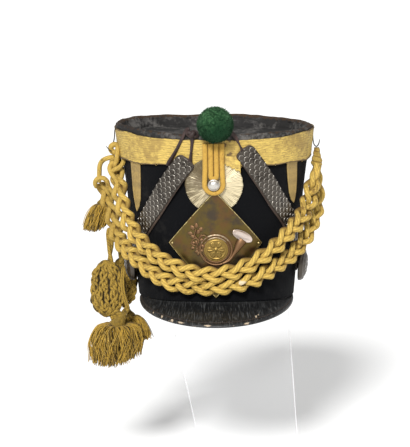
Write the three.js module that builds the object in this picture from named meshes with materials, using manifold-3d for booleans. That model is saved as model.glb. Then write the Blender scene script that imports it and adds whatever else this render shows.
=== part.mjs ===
import * as THREE from 'three';
import { mergeVertices } from 'three/addons/utils/BufferGeometryUtils.js';
import Module from 'manifold-3d';

const wasm = await Module();
wasm.setup();

// A felt shako with its plaited cap lines, standing on a clear sheet stand.
// Millimetres. +Z is up, the hat faces -Y, and z = 0 is the floor under the stand.
// An azimuth is in degrees from the hat's front, positive towards +X.
// A standoff is a distance outwards from the felt's outer face.

// Driving dimensions
const SEAT_GAP = 0.3;
const HEM_Z = 200;
const BODY = {
  height: 189,
  hemHalfWidth: 86.5,
  hemHalfDepth: 100,
  rimHalfWidth: 107.3,
  rimHalfDepth: 111.4,
  waist: 1,
  lean: -2.5,
  wall: 3,
  frontArch: 7,
  feltBelowRim: 5,
};
const RIM_Z = HEM_Z + BODY.height;
const FELT_TOP_Z = RIM_Z - BODY.feltBelowRim;

const LEATHER = { band: 1.5, bandDepth: 30, floorDepth: 15, floorThickness: 2, fillet: 3, roll: 0.8 };
// The crown's floor lifts a little towards its edge: a share of the oval, and the lift there
const FLOOR_LIFT = [
  { share: 0.5, lift: 0.4 },
  { share: 0.85, lift: 1.6 },
];
const LACE = { topBelowRim: 6, width: 29, thickness: 1.5, edgeWave: 0.6, waves: 9 };
const LACE_INNER = LEATHER.band + 2 * SEAT_GAP;
const LACE_OUTER = LACE_INNER + LACE.thickness;
const LACE_TOP_Z = RIM_Z - LACE.topBelowRim;
const LACE_BOTTOM_Z = LACE_TOP_Z - LACE.width;

const PEAK = {
  halfWidth: 85.5,
  endY: -12,
  reach: 133,
  endZ: 198.3,
  frontDrop: 10.4,
  sideTilt: 0.9,
  endAzimuth: 84,
  thickness: 2.6,
  crown: 3,
  seamDrop: 0.8,
};

const STRIP = { halfWidth: 10, thickness: 1.2, tuck: 1.2 };
const STRIPS = [
  { name: 'side_strip_left', topAzimuth: -56.3, tipAzimuth: -60.7, tipZ: 298.7 },
  { name: 'side_strip_right', topAzimuth: 53.4, tipAzimuth: 59, tipZ: 308.5 },
];
// Half width of a lance-pointed strip, as a share of its widest, along its length
const STRIP_TAPER = [
  { along: 0, width: 1 },
  { along: 0.45, width: 0.86 },
  { along: 0.75, width: 0.62 },
  { along: 0.92, width: 0.3 },
  { along: 1, width: 0.05 },
];

const COCKADE = { radius: 31.5, u: -2.8, z: 334.5, thickness: 1.2, lowStandoff: 1.2, liftBelowLace: 2 };
const PLATE = { halfWidth: 51, halfHeight: 59.3, u: -1.4, z: 270.3, thickness: 1, lowStandoff: 1, rise: 3.2 };
const HORN = {
  u: 0.2,
  z: 264.6,
  ringRadius: 14.4,
  ringTube: 2,
  bellU: 29,
  bellZ: 278.6,
  bellLong: 10,
  bellShort: 4.8,
  bellTilt: -27,
  bellDepth: 3,
  neckReach: 4,
  neckHeight: 0.6,
  knotU: -17,
  knotZ: 276,
  knotRadius: 6,
  knotHalfHeight: 11.4,
};

const LOOP = { cord: 5.5, outerHalf: 8.9, innerHalf: 2.9, u: -2.8, topZ: 380, arcZ: 334.3, innerArcZ: 343.6 };
const LOOP_STANDOFF = LACE_OUTER + COCKADE.thickness + 2.5 * SEAT_GAP + LOOP.cord / 2;
const BUTTON = { radius: 6.7, dome: 4.3, rim: 0.8, shank: 2 };

const POMPOM = { radius: 19.9, halfHeight: 18.5, x: -2.1, y: -130.2, z: 400.6 };
const POMPOM_WIRE = { diameter: 1.4, standoff: 4.7, lowZ: 367.4, highZ: 387 };

const STRAP = { halfWidth: 10.7, thickness: 1.8, endShare: 0.09 };
const SCALES = { halfWidth: 9.8, thickness: 1.5, endShare: 0.08, setBack: 1 };
// Each chin strap runs from its side boss to the front of the rim
const STRAPS = [
  {
    side: 'left',
    route: [
      { azimuth: -84, z: 236, standoff: 0.7 },
      { azimuth: -66, z: 264.5, standoff: 0.7 },
      { azimuth: -51.5, z: 289, standoff: 0.8 },
      { azimuth: -39.8, z: 310, standoff: 1.6 },
      { azimuth: -30.1, z: 330, standoff: 4 },
      { azimuth: -22.6, z: 346.5, standoff: 5.6 },
      { azimuth: -15, z: 363, standoff: 5.7 },
    ],
  },
  {
    side: 'right',
    route: [
      { azimuth: 84, z: 236, standoff: 0.7 },
      { azimuth: 67, z: 268, standoff: 0.7 },
      { azimuth: 52.6, z: 295.3, standoff: 0.8 },
      { azimuth: 41.1, z: 315.2, standoff: 1.6 },
      { azimuth: 31.1, z: 336.3, standoff: 3.6 },
      { azimuth: 23.3, z: 354.4, standoff: 4.4 },
      { azimuth: 15.2, z: 373.5, standoff: 4.4 },
    ],
  },
];
const BOSS = { radius: 18, edge: 2, dome: 8.5, azimuth: 82, z: 233, standoff: 4.8 };

const TIE_DIAMETER = 2.8;
// Leather thongs from the straps' ends to the foot of the pompom
const TIES = [
  {
    name: 'tie_left_outer',
    route: [
      { azimuth: -26.3, z: 359, standoff: 5.4 },
      { azimuth: -23.6, z: 366, standoff: 5.4 },
      { azimuth: -20.4, z: 376, standoff: 5.4 },
      { azimuth: -17.6, z: 385, standoff: 5.2 },
      { azimuth: -15.6, z: 390.6, standoff: 4.6 },
      { azimuth: -14.2, z: 391.6, standoff: 5.4 },
    ],
  },
  {
    name: 'tie_left_inner',
    route: [
      { azimuth: -13.4, z: 366.6, standoff: 6.4 },
      { azimuth: -12.9, z: 374, standoff: 5.4 },
      { azimuth: -12.5, z: 380, standoff: 5.4 },
      { azimuth: -12.2, z: 384.3, standoff: 6 },
    ],
  },
  {
    name: 'tie_right',
    route: [
      { azimuth: 14.9, z: 374.3, standoff: 5.4 },
      { azimuth: 12.6, z: 381.5, standoff: 5.3 },
      { azimuth: 10.6, z: 388, standoff: 4.8 },
      { azimuth: 9, z: 392, standoff: 4.6 },
    ],
  },
];
const TIE_KNOT = { radius: 3.4, azimuth: -12.1, z: 388.2, standoff: 6.4 };

const HOOK_DIAMETER = 1.3;
// Wire hooks on the rim that carry the cap lines
const HOOKS = [
  {
    name: 'hook_left',
    route: [
      { azimuth: -79, z: 388, standoff: 3 },
      { azimuth: -79.4, z: 383.4, standoff: 4.8 },
      { azimuth: -82, z: 374, standoff: 6.2 },
      { azimuth: -84, z: 366, standoff: 9 },
      { azimuth: -83.5, z: 362.2, standoff: 11 },
      { azimuth: -80, z: 361.4, standoff: 11.9 },
      { azimuth: -76.6, z: 361.6, standoff: 13.4 },
      { azimuth: -75.6, z: 364.5, standoff: 16 },
      { azimuth: -75.6, z: 368, standoff: 18.4 },
    ],
  },
  {
    name: 'hook_right',
    route: [
      { azimuth: 82, z: 388, standoff: 3 },
      { azimuth: 82, z: 383.4, standoff: 4.8 },
      { azimuth: 82.4, z: 376, standoff: 6.6 },
      { azimuth: 83.2, z: 369.2, standoff: 9.6 },
      { azimuth: 84, z: 369.4, standoff: 13.4 },
      { azimuth: 84, z: 376, standoff: 15 },
    ],
  },
];

// Free cords of the cap lines. A plait's tube is the plain core of its three strands.
const PLAIT_CORE = 12;
const SINGLE_CORD = 5.2;
const CORDS = [
  {
    name: 'swag_upper',
    finish: 'yellowCord',
    diameter: PLAIT_CORE,
    steps: 46,
    route: [
      { azimuth: -80.5, z: 354, standoff: 12.2 },
      { azimuth: -82.5, z: 342, standoff: 12.6 },
      { azimuth: -78.4, z: 331, standoff: 12.8 },
      { azimuth: -73.8, z: 320.4, standoff: 12.8 },
      { azimuth: -70.3, z: 310.3, standoff: 12.6 },
      { azimuth: -67.1, z: 300.1, standoff: 12.6 },
      { azimuth: -63.2, z: 288.9, standoff: 12.6 },
      { azimuth: -57.7, z: 279.4, standoff: 12.8 },
      { azimuth: -52, z: 270.9, standoff: 13 },
      { azimuth: -45.7, z: 263.9, standoff: 13 },
      { azimuth: -35.1, z: 253.3, standoff: 12.6 },
      { azimuth: -25.5, z: 246, standoff: 12.2 },
      { azimuth: -13.9, z: 240.3, standoff: 12 },
      { azimuth: -2.1, z: 238.7, standoff: 12 },
      { azimuth: 12.9, z: 242, standoff: 12 },
      { azimuth: 25, z: 253.1, standoff: 12.2 },
      { azimuth: 37.7, z: 269.3, standoff: 12.6 },
      { azimuth: 47.9, z: 282.8, standoff: 12.8 },
      { azimuth: 54.7, z: 292.8, standoff: 12.8 },
      { azimuth: 61.7, z: 301.5, standoff: 12.6 },
      { azimuth: 68, z: 311, standoff: 12.4 },
      { azimuth: 74.5, z: 323.5, standoff: 12.2 },
      { azimuth: 80, z: 336, standoff: 12 },
      { azimuth: 81.1, z: 346.2, standoff: 12 },
    ],
  },
  {
    name: 'swag_lower',
    finish: 'yellowCord',
    diameter: PLAIT_CORE,
    steps: 50,
    route: [
      { azimuth: -88, z: 323, standoff: 31 },
      { azimuth: -88, z: 312, standoff: 30 },
      { azimuth: -87, z: 301.8, standoff: 28.2 },
      { azimuth: -86, z: 290.8, standoff: 25.2 },
      { azimuth: -84, z: 280.3, standoff: 22.4 },
      { azimuth: -82, z: 271.7, standoff: 19.8 },
      { azimuth: -77, z: 262, standoff: 16.5 },
      { azimuth: -67.8, z: 255, standoff: 13.6 },
      { azimuth: -57.1, z: 247.4, standoff: 11.6 },
      { azimuth: -48.1, z: 239, standoff: 10 },
      { azimuth: -38.5, z: 231.6, standoff: 9.2 },
      { azimuth: -28.5, z: 227, standoff: 9 },
      { azimuth: -14.7, z: 224.9, standoff: 8.8 },
      { azimuth: -0.4, z: 224.6, standoff: 8.8 },
      { azimuth: 12.2, z: 227.4, standoff: 8.8 },
      { azimuth: 23.8, z: 231.6, standoff: 8.8 },
      { azimuth: 34, z: 238.6, standoff: 9 },
      { azimuth: 47.2, z: 248.6, standoff: 9.6 },
      { azimuth: 57.2, z: 257.8, standoff: 11.4 },
      { azimuth: 66, z: 267.9, standoff: 13.6 },
      { azimuth: 73, z: 280.2, standoff: 15.8 },
      { azimuth: 80, z: 294, standoff: 17 },
      { azimuth: 86.5, z: 307, standoff: 17 },
      { azimuth: 89.5, z: 321, standoff: 15 },
      { azimuth: 89.6, z: 334, standoff: 12.8 },
      { azimuth: 88.2, z: 346.2, standoff: 12 },
    ],
  },
  {
    name: 'cord_loop_left',
    finish: 'yellowCord',
    diameter: SINGLE_CORD,
    steps: 14,
    route: [
      { azimuth: -83, z: 350, standoff: 21.4 },
      { azimuth: -84.4, z: 351, standoff: 24 },
      { azimuth: -86, z: 348.4, standoff: 27.6 },
      { azimuth: -87, z: 341.5, standoff: 30.6 },
      { azimuth: -88, z: 334, standoff: 31.8 },
      { azimuth: -88, z: 323.8, standoff: 31.4 },
    ],
  },
  {
    name: 'drop_cord_front',
    finish: 'oliveCord',
    diameter: SINGLE_CORD,
    steps: 10,
    route: [
      { azimuth: -84.2, z: 268, standoff: 26.2 },
      { azimuth: -82.9, z: 258, standoff: 26 },
      { azimuth: -82.4, z: 247, standoff: 27.6 },
      { azimuth: -81.8, z: 235.7, standoff: 28.8 },
    ],
  },
  {
    name: 'drop_cord_back',
    finish: 'oliveCord',
    diameter: SINGLE_CORD,
    steps: 6,
    route: [
      { azimuth: -84.2, z: 267.5, standoff: 18.6 },
      { azimuth: -91.6, z: 257, standoff: 17.6 },
      { azimuth: -96.4, z: 246, standoff: 16.6 },
      { azimuth: -97.4, z: 237.7, standoff: 16.6 },
    ],
  },
];
const RING_LEFT = { radius: 4.1, cord: 5, x: -116.2, y: -20.4, z: 361.4 };
const KNOT_RIGHT = { radius: 5.8, length: 21, azimuth: 84.6, standoff: 11.6, z: 357.4 };

// Flat woven paddles that hang on the drop cords, widest under their middles
const PADDLE_SHAPE = { egg: 0.14, bluntEdge: 0.06 };
const PADDLES = [
  { name: 'raquette_front', halfWidth: 16, halfHeight: 30, halfDepth: 3.4, x: -122.5, y: -21, z: 206, yaw: 8 },
  { name: 'raquette_back', halfWidth: 15.5, halfHeight: 28, halfDepth: 3.2, x: -106, y: 13.4, z: 209, yaw: -6 },
];

// Tassels: a bound cap over a fringe, each row a radius at a depth under the tassel's top
const TASSEL_FORM = [
  { depth: 0, radius: 0.22 },
  { depth: 0.1, radius: 0.3 },
  { depth: 0.28, radius: 0.42 },
  { depth: 0.34, radius: 0.5 },
  { depth: 0.55, radius: 0.82 },
  { depth: 0.8, radius: 1 },
  { depth: 1, radius: 0.92 },
];
const TASSELS = [
  { name: 'tassel_front', radius: 26.5, length: 55, x: -113.6, y: -23, z: 175.4, leanX: 2, leanY: 3 },
  { name: 'tassel_back', radius: 16, length: 41, x: -102, y: 13.4, z: 181.2, leanX: 4, leanY: -22 },
  { name: 'tassel_side', radius: 13, length: 42, x: -127, y: 3.5, z: 306, leanX: -8, leanY: 20 },
];

const STAND = {
  sheet: 5,
  base: 6,
  rest: 5,
  baseLeft: -85,
  baseRight: 112,
  baseFront: -95,
  baseBack: 55,
  footLeft: -15,
  footRight: 94,
  neckLeft: -54,
  neckRight: 80.5,
  neckZ: 186,
  restHalfDepth: 45,
};

// How finely round shapes are cut into flats
const FINENESS = {
  around: 48,
  bodyRows: 4,
  peakColumns: 28,
  peakRows: 3,
  bandStations: 16,
  bandAcross: 2,
  plateSide: 8,
  cockadeSpokes: 32,
  cockadeRings: 4,
  paddleSpokes: 22,
  paddleRings: 3,
  tube: 8,
  wire: 6,
  lathe: 16,
};

const FINISHES = {
  felt: { color: 0x16171b, roughness: 0.95, metalness: 0 },
  crownLeather: { color: 0x2b2a29, roughness: 0.6, metalness: 0 },
  peakLeather: { color: 0x1b1b1c, roughness: 0.45, metalness: 0 },
  brownLeather: { color: 0x2e211a, roughness: 0.6, metalness: 0 },
  lace: { color: 0xc49a3c, roughness: 0.85, metalness: 0 },
  yellowCord: { color: 0xcf9e35, roughness: 0.85, metalness: 0 },
  oliveCord: { color: 0x8c7427, roughness: 0.85, metalness: 0 },
  greenWool: { color: 0x0d3a24, roughness: 1, metalness: 0 },
  cockadeSilk: { color: 0xd9cfb4, roughness: 0.6, metalness: 0 },
  brass: { color: 0x7d6a33, roughness: 0.35, metalness: 1 },
  darkMetal: { color: 0x4a4540, roughness: 0.45, metalness: 1 },
  silver: { color: 0xc9c4b8, roughness: 0.25, metalness: 1 },
  wire: { color: 0x2b2b2d, roughness: 0.4, metalness: 1 },
  clearSheet: { color: 0xf4f7f8, roughness: 0.05, metalness: 0, transparent: true, opacity: 0.3 },
};

const { degToRad, lerp, clamp } = THREE.MathUtils;

// The body's oval at height z: straight taper, drawn in slightly at the waist, leaning a little
function sectionAt(z) {
  const t = (z - HEM_Z) / BODY.height;
  const waist = BODY.waist * 4 * t * (1 - t);
  return {
    halfWidth: lerp(BODY.hemHalfWidth, BODY.rimHalfWidth, t) - waist,
    halfDepth: lerp(BODY.hemHalfDepth, BODY.rimHalfDepth, t) - waist,
    centreX: BODY.lean * t,
  };
}

function onBody({ azimuth, z, standoff = 0, share = 1 }) {
  const { halfWidth, halfDepth, centreX } = sectionAt(z);
  const angle = degToRad(azimuth);
  const x = centreX + (halfWidth * share + standoff) * Math.sin(angle);
  const y = -(halfDepth * share + standoff) * Math.cos(angle);
  return new THREE.Vector3(x, y, z);
}

// Millimetres along the felt for one degree of azimuth
function degreeLength(azimuth, z) {
  const { halfWidth, halfDepth } = sectionAt(z);
  const angle = degToRad(azimuth);
  return degToRad(Math.hypot(halfWidth * Math.cos(angle), halfDepth * Math.sin(angle)));
}

// A point u millimetres to the right of the front line
function onFront({ u, z, standoff }) {
  return onBody({ azimuth: u / degreeLength(0, z), z, standoff });
}

// The felt's outward direction, square to its taper as well as its oval
function outwardAt(azimuth, z) {
  const here = onBody({ azimuth, z });
  const aside = onBody({ azimuth: azimuth + 1, z }).sub(here);
  const above = onBody({ azimuth, z: z + 1 }).sub(here);
  return aside.cross(above).normalize();
}

function routePoints(route) {
  return route.map((row) => onBody(row));
}

// Geometry helpers
function geometryFrom(vertices, faces) {
  const geometry = new THREE.BufferGeometry();
  const positions = vertices.flatMap((vertex) => vertex.toArray());
  geometry.setAttribute('position', new THREE.Float32BufferAttribute(positions, 3));
  geometry.setIndex(faces.flat());
  return geometry;
}

function gridFaces(columns, rows, closed = false) {
  const stride = closed ? columns : columns + 1;
  const faces = [];
  for (let j = 0; j < rows; j += 1) {
    for (let i = 0; i < columns; i += 1) {
      const next = closed ? (i + 1) % columns : i + 1;
      const a = j * stride + i;
      const b = j * stride + next;
      const c = (j + 1) * stride + next;
      const d = (j + 1) * stride + i;
      faces.push([a, b, c], [a, c, d]);
    }
  }
  return faces;
}

// Rows of points from one end to the other, j outermost, as gridFaces numbers them
function gridPoints(columns, rows, closed, pointAt) {
  const last = closed ? columns - 1 : columns;
  const points = [];
  for (let j = 0; j <= rows; j += 1) {
    for (let i = 0; i <= last; i += 1) {
      points.push(pointAt(i / columns, j / rows));
    }
  }
  return points;
}

// A disc's faces: a middle point, then rings of spokes that run anticlockwise as seen from outside
function discFaces(spokes, rings) {
  const faces = [];
  for (let i = 0; i < spokes; i += 1) {
    const next = (i + 1) % spokes;
    faces.push([0, 1 + i, 1 + next]);
    for (let j = 0; j < rings - 1; j += 1) {
      const a = 1 + j * spokes + i;
      const b = 1 + j * spokes + next;
      faces.push([a, a + spokes, b + spokes], [a, b + spokes, b]);
    }
  }
  return faces;
}

function discPoints(spokes, rings, pointAt) {
  const points = [pointAt(0, 0)];
  for (let j = 1; j <= rings; j += 1) {
    for (let i = 0; i < spokes; i += 1) {
      points.push(pointAt(j / rings, (i / spokes) * 2 * Math.PI));
    }
  }
  return points;
}

// A closed sheet: the outer face, the inner face turned over, and walls along every open edge
function thicken(outer, inner, faces) {
  const edges = new Set(faces.flatMap(([a, b, c]) => [`${a},${b}`, `${b},${c}`, `${c},${a}`]));
  const count = outer.length;
  const all = [...faces];
  faces.forEach(([a, b, c]) => all.push([a + count, c + count, b + count]));
  edges.forEach((edge) => {
    const [from, to] = edge.split(',').map(Number);
    if (!edges.has(`${to},${from}`)) {
      all.push([to, from, from + count], [to, from + count, to + count]);
    }
  });
  return geometryFrom([...outer, ...inner], all);
}

// A wall round the hat between two standoffs
function ringWall(bottomAt, topZ, innerStandoff, outerStandoff, rows) {
  const layer = (standoff) =>
    gridPoints(FINENESS.around, rows, true, (s, t) => {
      const azimuth = s * 360;
      return onBody({ azimuth, z: lerp(bottomAt(azimuth), topZ, t), standoff });
    });
  return thicken(layer(outerStandoff), layer(innerStandoff), gridFaces(FINENESS.around, rows, true));
}

// A band laid on the hat along a route, its half width a function of the way along
function ribbon({ route, halfWidthAt, thickness, lift = 0 }) {
  const track = new THREE.CatmullRomCurve3(
    route.map(({ azimuth, z, standoff }) => new THREE.Vector3(azimuth, z, standoff)),
  );
  const layer = (height) =>
    gridPoints(FINENESS.bandAcross, FINENESS.bandStations, false, (s, t) => {
      const middle = track.getPoint(t);
      const heading = track.getTangent(t);
      const perDegree = degreeLength(middle.x, middle.y);
      const du = heading.x * perDegree;
      const dz = heading.y;
      const offset = ((2 * s - 1) * halfWidthAt(t)) / Math.hypot(du, dz);
      return onBody({
        azimuth: middle.x + (offset * dz) / perDegree,
        z: middle.y - offset * du,
        standoff: middle.z + lift + height,
      });
    });
  return thicken(layer(thickness), layer(0), gridFaces(FINENESS.bandAcross, FINENESS.bandStations));
}

function roundSection(diameter, sides) {
  const shape = new THREE.Shape();
  for (let i = 0; i < sides; i += 1) {
    const angle = (i / sides) * 2 * Math.PI;
    const [x, y] = [(diameter / 2) * Math.cos(angle), (diameter / 2) * Math.sin(angle)];
    if (i === 0) {
      shape.moveTo(x, y);
    } else {
      shape.lineTo(x, y);
    }
  }
  shape.closePath();
  return shape;
}

function cordTube(points, diameter, steps, sides = FINENESS.tube) {
  const extrudePath = new THREE.CatmullRomCurve3(points);
  const section = roundSection(diameter, sides);
  return new THREE.ExtrudeGeometry(section, { steps, extrudePath, bevelEnabled: false });
}

// A turned form about +Z. Each row is a radius and a height, from the top of the axis to its foot.
function turned(rows, segments = FINENESS.lathe) {
  const profile = [...rows].reverse().map(([radius, height]) => new THREE.Vector2(radius, height));
  return new THREE.LatheGeometry(profile, segments).rotateX(Math.PI / 2);
}

function toSolid(geometry) {
  const bare = geometry.clone();
  bare.deleteAttribute('normal');
  bare.deleteAttribute('uv');
  const merged = mergeVertices(bare, 1e-3);
  return new wasm.Manifold(
    new wasm.Mesh({
      numProp: 3,
      vertProperties: Float32Array.from(merged.attributes.position.array),
      triVerts: Uint32Array.from(merged.index.array),
    }),
  );
}

function fromSolid(solid) {
  const { vertProperties, triVerts } = solid.getMesh();
  const geometry = new THREE.BufferGeometry();
  geometry.setAttribute('position', new THREE.BufferAttribute(Float32Array.from(vertProperties), 3));
  geometry.setIndex(Array.from(triVerts));
  return geometry;
}

function joined(geometries) {
  return fromSolid(geometries.map(toSolid).reduce((whole, solid) => whole.add(solid)));
}

// Bends a flat geometry, drawn as right, up and outwards, onto the hat's front
function wrapOnFront(geometry, u, z, standoffAt) {
  const positions = geometry.attributes.position;
  for (let i = 0; i < positions.count; i += 1) {
    const height = z + positions.getY(i);
    const point = onFront({
      u: u + positions.getX(i),
      z: height,
      standoff: standoffAt(height) + positions.getZ(i),
    });
    positions.setXYZ(i, point.x, point.y, point.z);
  }
  return geometry;
}

function piece(name, geometry, finish) {
  const mesh = new THREE.Mesh(geometry, new THREE.MeshStandardMaterial(FINISHES[finish]));
  mesh.name = name;
  return mesh;
}

// Hat body
function feltBody() {
  const hemAt = (azimuth) => HEM_Z + BODY.frontArch * Math.max(0, Math.cos(degToRad(azimuth))) ** 2;
  return piece('felt_body', ringWall(hemAt, FELT_TOP_Z, -BODY.wall, 0, FINENESS.bodyRows), 'felt');
}

// The leather top: a sunken floor, a rolled rim over the felt's edge, and a band down the outside
function leatherCrown() {
  const clearFelt = BODY.wall + SEAT_GAP;
  const outside = LEATHER.band + SEAT_GAP;
  const overFelt = BODY.feltBelowRim - SEAT_GAP;
  const inside = clearFelt + LEATHER.band;
  const underside = LEATHER.floorDepth + LEATHER.floorThickness;
  const floorAt = (depth) => FLOOR_LIFT.map(({ share, lift }) => ({ share, depth: depth - lift }));
  const rings = [
    ...floorAt(LEATHER.floorDepth),
    { standoff: -inside - LEATHER.band, depth: LEATHER.floorDepth - LEATHER.fillet },
    { standoff: -inside, depth: LEATHER.fillet },
    { standoff: -inside + LEATHER.roll, depth: LEATHER.roll },
    { standoff: -BODY.wall / 2, depth: 0 },
    { standoff: outside - LEATHER.roll, depth: LEATHER.roll },
    { standoff: outside, depth: LEATHER.fillet },
    { standoff: outside, depth: LEATHER.bandDepth },
    { standoff: SEAT_GAP, depth: LEATHER.bandDepth },
    { standoff: SEAT_GAP, depth: overFelt },
    { standoff: -clearFelt, depth: overFelt },
    { standoff: -clearFelt, depth: underside - LEATHER.fillet },
    ...floorAt(underside).reverse(),
  ];
  const count = FINENESS.around;
  const vertices = rings.flatMap(({ share, standoff, depth }) =>
    Array.from({ length: count }, (_, i) =>
      onBody({ azimuth: (i / count) * 360, z: RIM_Z - depth, standoff, share }),
    ),
  );
  const faces = gridFaces(count, rings.length - 1, true).map(([a, b, c]) => [a, c, b]);
  const topIndex = vertices.push(onBody({ azimuth: 0, z: RIM_Z - LEATHER.floorDepth, share: 0 })) - 1;
  const bottomIndex = vertices.push(onBody({ azimuth: 0, z: RIM_Z - underside, share: 0 })) - 1;
  const lastRing = (rings.length - 1) * count;
  for (let i = 0; i < count; i += 1) {
    const next = (i + 1) % count;
    faces.push([topIndex, i, next], [bottomIndex, lastRing + next, lastRing + i]);
  }
  return piece('leather_crown', geometryFrom(vertices, faces), 'crownLeather');
}

function topLace() {
  const edgeAt = (azimuth) => LACE_BOTTOM_Z + LACE.edgeWave * Math.sin(degToRad(azimuth * LACE.waves));
  return piece('top_lace', ringWall(edgeAt, LACE_TOP_Z, LACE_INNER, LACE_OUTER, 1), 'lace');
}

function stripWidth(along) {
  const next = STRIP_TAPER.findIndex((row) => row.along >= along);
  if (next <= 0) {
    return STRIP.halfWidth * STRIP_TAPER[0].width;
  }
  const [from, to] = [STRIP_TAPER[next - 1], STRIP_TAPER[next]];
  const share = (along - from.along) / (to.along - from.along);
  return STRIP.halfWidth * lerp(from.width, to.width, share);
}

function sideStrip({ name, topAzimuth, tipAzimuth, tipZ }) {
  const topZ = LACE_BOTTOM_Z + STRIP.tuck;
  const route = [0, 0.5, 1].map((share) => ({
    azimuth: lerp(topAzimuth, tipAzimuth, share),
    z: lerp(topZ, tipZ, share),
    standoff: SEAT_GAP,
  }));
  const geometry = ribbon({ route, halfWidthAt: stripWidth, thickness: STRIP.thickness });
  return piece(name, geometry, 'lace');
}

// The peak: from under the felt's front edge out to a bowed outer edge, dished between them
function peak() {
  const layer = (drop) =>
    gridPoints(FINENESS.peakColumns, FINENESS.peakRows, false, (s, t) => {
      const azimuth = lerp(-PEAK.endAzimuth, PEAK.endAzimuth, s);
      const sweep = degToRad(lerp(-90, 90, s));
      const hemZ = HEM_Z + BODY.frontArch * Math.cos(degToRad(azimuth)) ** 2;
      const root = onBody({ azimuth, z: hemZ - PEAK.seamDrop, standoff: -BODY.wall });
      const edge = new THREE.Vector3(
        PEAK.halfWidth * Math.sin(sweep),
        PEAK.endY - PEAK.reach * Math.cos(sweep),
        PEAK.endZ - PEAK.frontDrop * Math.cos(sweep) + PEAK.sideTilt * Math.sin(sweep),
      );
      const point = root.lerp(edge, 1 - t);
      point.z += PEAK.crown * 4 * t * (1 - t) * Math.cos(sweep) * (1 - t) - drop;
      return point;
    });
  const faces = gridFaces(FINENESS.peakColumns, FINENESS.peakRows);
  return piece('peak', thicken(layer(0), layer(PEAK.thickness), faces), 'peakLeather');
}

// Front trimmings
function cockadeStandoff(z) {
  const low = COCKADE.z - COCKADE.radius;
  const share = clamp((z - low) / (LACE_BOTTOM_Z - COCKADE.liftBelowLace - low), 0, 1);
  return lerp(COCKADE.lowStandoff, LACE_OUTER + SEAT_GAP, share);
}

function cockade() {
  const layer = (height) =>
    discPoints(FINENESS.cockadeSpokes, FINENESS.cockadeRings, (radius, angle) => {
      const z = COCKADE.z + COCKADE.radius * radius * Math.sin(angle);
      const u = COCKADE.u + COCKADE.radius * radius * Math.cos(angle);
      return onFront({ u, z, standoff: cockadeStandoff(z) + height });
    });
  const faces = discFaces(FINENESS.cockadeSpokes, FINENESS.cockadeRings);
  return piece('cockade', thicken(layer(COCKADE.thickness), layer(0), faces), 'cockadeSilk');
}

function plateStandoff(z) {
  const low = PLATE.z - PLATE.halfHeight;
  return PLATE.lowStandoff + PLATE.rise * ((z - low) / (2 * PLATE.halfHeight));
}

function lozenge() {
  const layer = (height) =>
    gridPoints(FINENESS.plateSide, FINENESS.plateSide, false, (s, t) => {
      const z = PLATE.z + PLATE.halfHeight * (s + t - 1);
      const u = PLATE.u + PLATE.halfWidth * (s - t);
      return onFront({ u, z, standoff: plateStandoff(z) + height });
    });
  return thicken(layer(PLATE.thickness), layer(0), gridFaces(FINENESS.plateSide, FINENESS.plateSide));
}

// The horn in relief: a coil, a flaring bell that rises from it, and a knot of cord on the other side
function frontPlate() {
  const face = (z) => plateStandoff(z) + PLATE.thickness;
  const coil = new THREE.TorusGeometry(HORN.ringRadius, HORN.ringTube, 6, 20);
  const bell = new THREE.SphereGeometry(1, 12, 6)
    .scale(HORN.bellLong, HORN.bellShort, HORN.bellDepth)
    .rotateZ(degToRad(HORN.bellTilt));
  const knot = new THREE.SphereGeometry(1, 8, 6).scale(HORN.knotRadius, HORN.knotHalfHeight, HORN.bellDepth);
  const neck = cordTube(
    [
      new THREE.Vector3(HORN.ringRadius * 0.6, -HORN.ringRadius * 0.8, HORN.neckHeight),
      new THREE.Vector3(HORN.ringRadius + HORN.neckReach, -HORN.ringRadius * 0.5, HORN.neckHeight),
      new THREE.Vector3(HORN.bellU - HORN.u, HORN.bellZ - HORN.z - HORN.bellShort / 2, HORN.neckHeight),
    ],
    2 * HORN.ringTube,
    8,
  );
  const geometry = joined([
    lozenge(),
    wrapOnFront(coil, HORN.u, HORN.z, face),
    wrapOnFront(neck, HORN.u, HORN.z, face),
    wrapOnFront(bell, HORN.bellU, HORN.bellZ, face),
    wrapOnFront(knot, HORN.knotU, HORN.knotZ, face),
  ]);
  return piece('front_plate', geometry, 'brass');
}

// A doubled cord that comes down, round and up again
function loopCord(name, half, arcZ) {
  const quarter = Math.PI / 2;
  const turn = [1, 0.75, 0.5, 0.25, 0, -0.25, -0.5, -0.75, -1].map((share) => ({
    u: LOOP.u - half * Math.sin(share * quarter),
    z: arcZ - half * Math.cos(share * quarter),
  }));
  const legs = [LOOP.topZ, lerp(LOOP.topZ, arcZ, 0.5)];
  const down = legs.map((z) => ({ u: LOOP.u - half, z }));
  const up = [...legs].reverse().map((z) => ({ u: LOOP.u + half, z }));
  const points = [...down, ...turn, ...up].map(({ u, z }) => onFront({ u, z, standoff: LOOP_STANDOFF }));
  return piece(name, cordTube(points, LOOP.cord, 20), 'yellowCord');
}

function loopButton() {
  const foot = LOOP_STANDOFF + LOOP.cord / 2 + 2 * SEAT_GAP;
  const shankLength = foot - cockadeStandoff(LOOP.arcZ) - COCKADE.thickness - SEAT_GAP;
  const rows = [
    [0, BUTTON.dome],
    [BUTTON.radius * 0.48, BUTTON.dome * 0.9],
    [BUTTON.radius * 0.82, BUTTON.dome * 0.6],
    [BUTTON.radius, BUTTON.rim],
    [BUTTON.radius, 0],
    [BUTTON.shank, 0],
    [BUTTON.shank, -shankLength],
    [0, -shankLength],
  ];
  const mesh = piece('loop_button', turned(rows), 'silver');
  mesh.position.copy(onFront({ u: LOOP.u, z: LOOP.arcZ, standoff: foot }));
  mesh.quaternion.setFromUnitVectors(new THREE.Vector3(0, 0, 1), outwardAt(0, LOOP.arcZ));
  return mesh;
}

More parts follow.
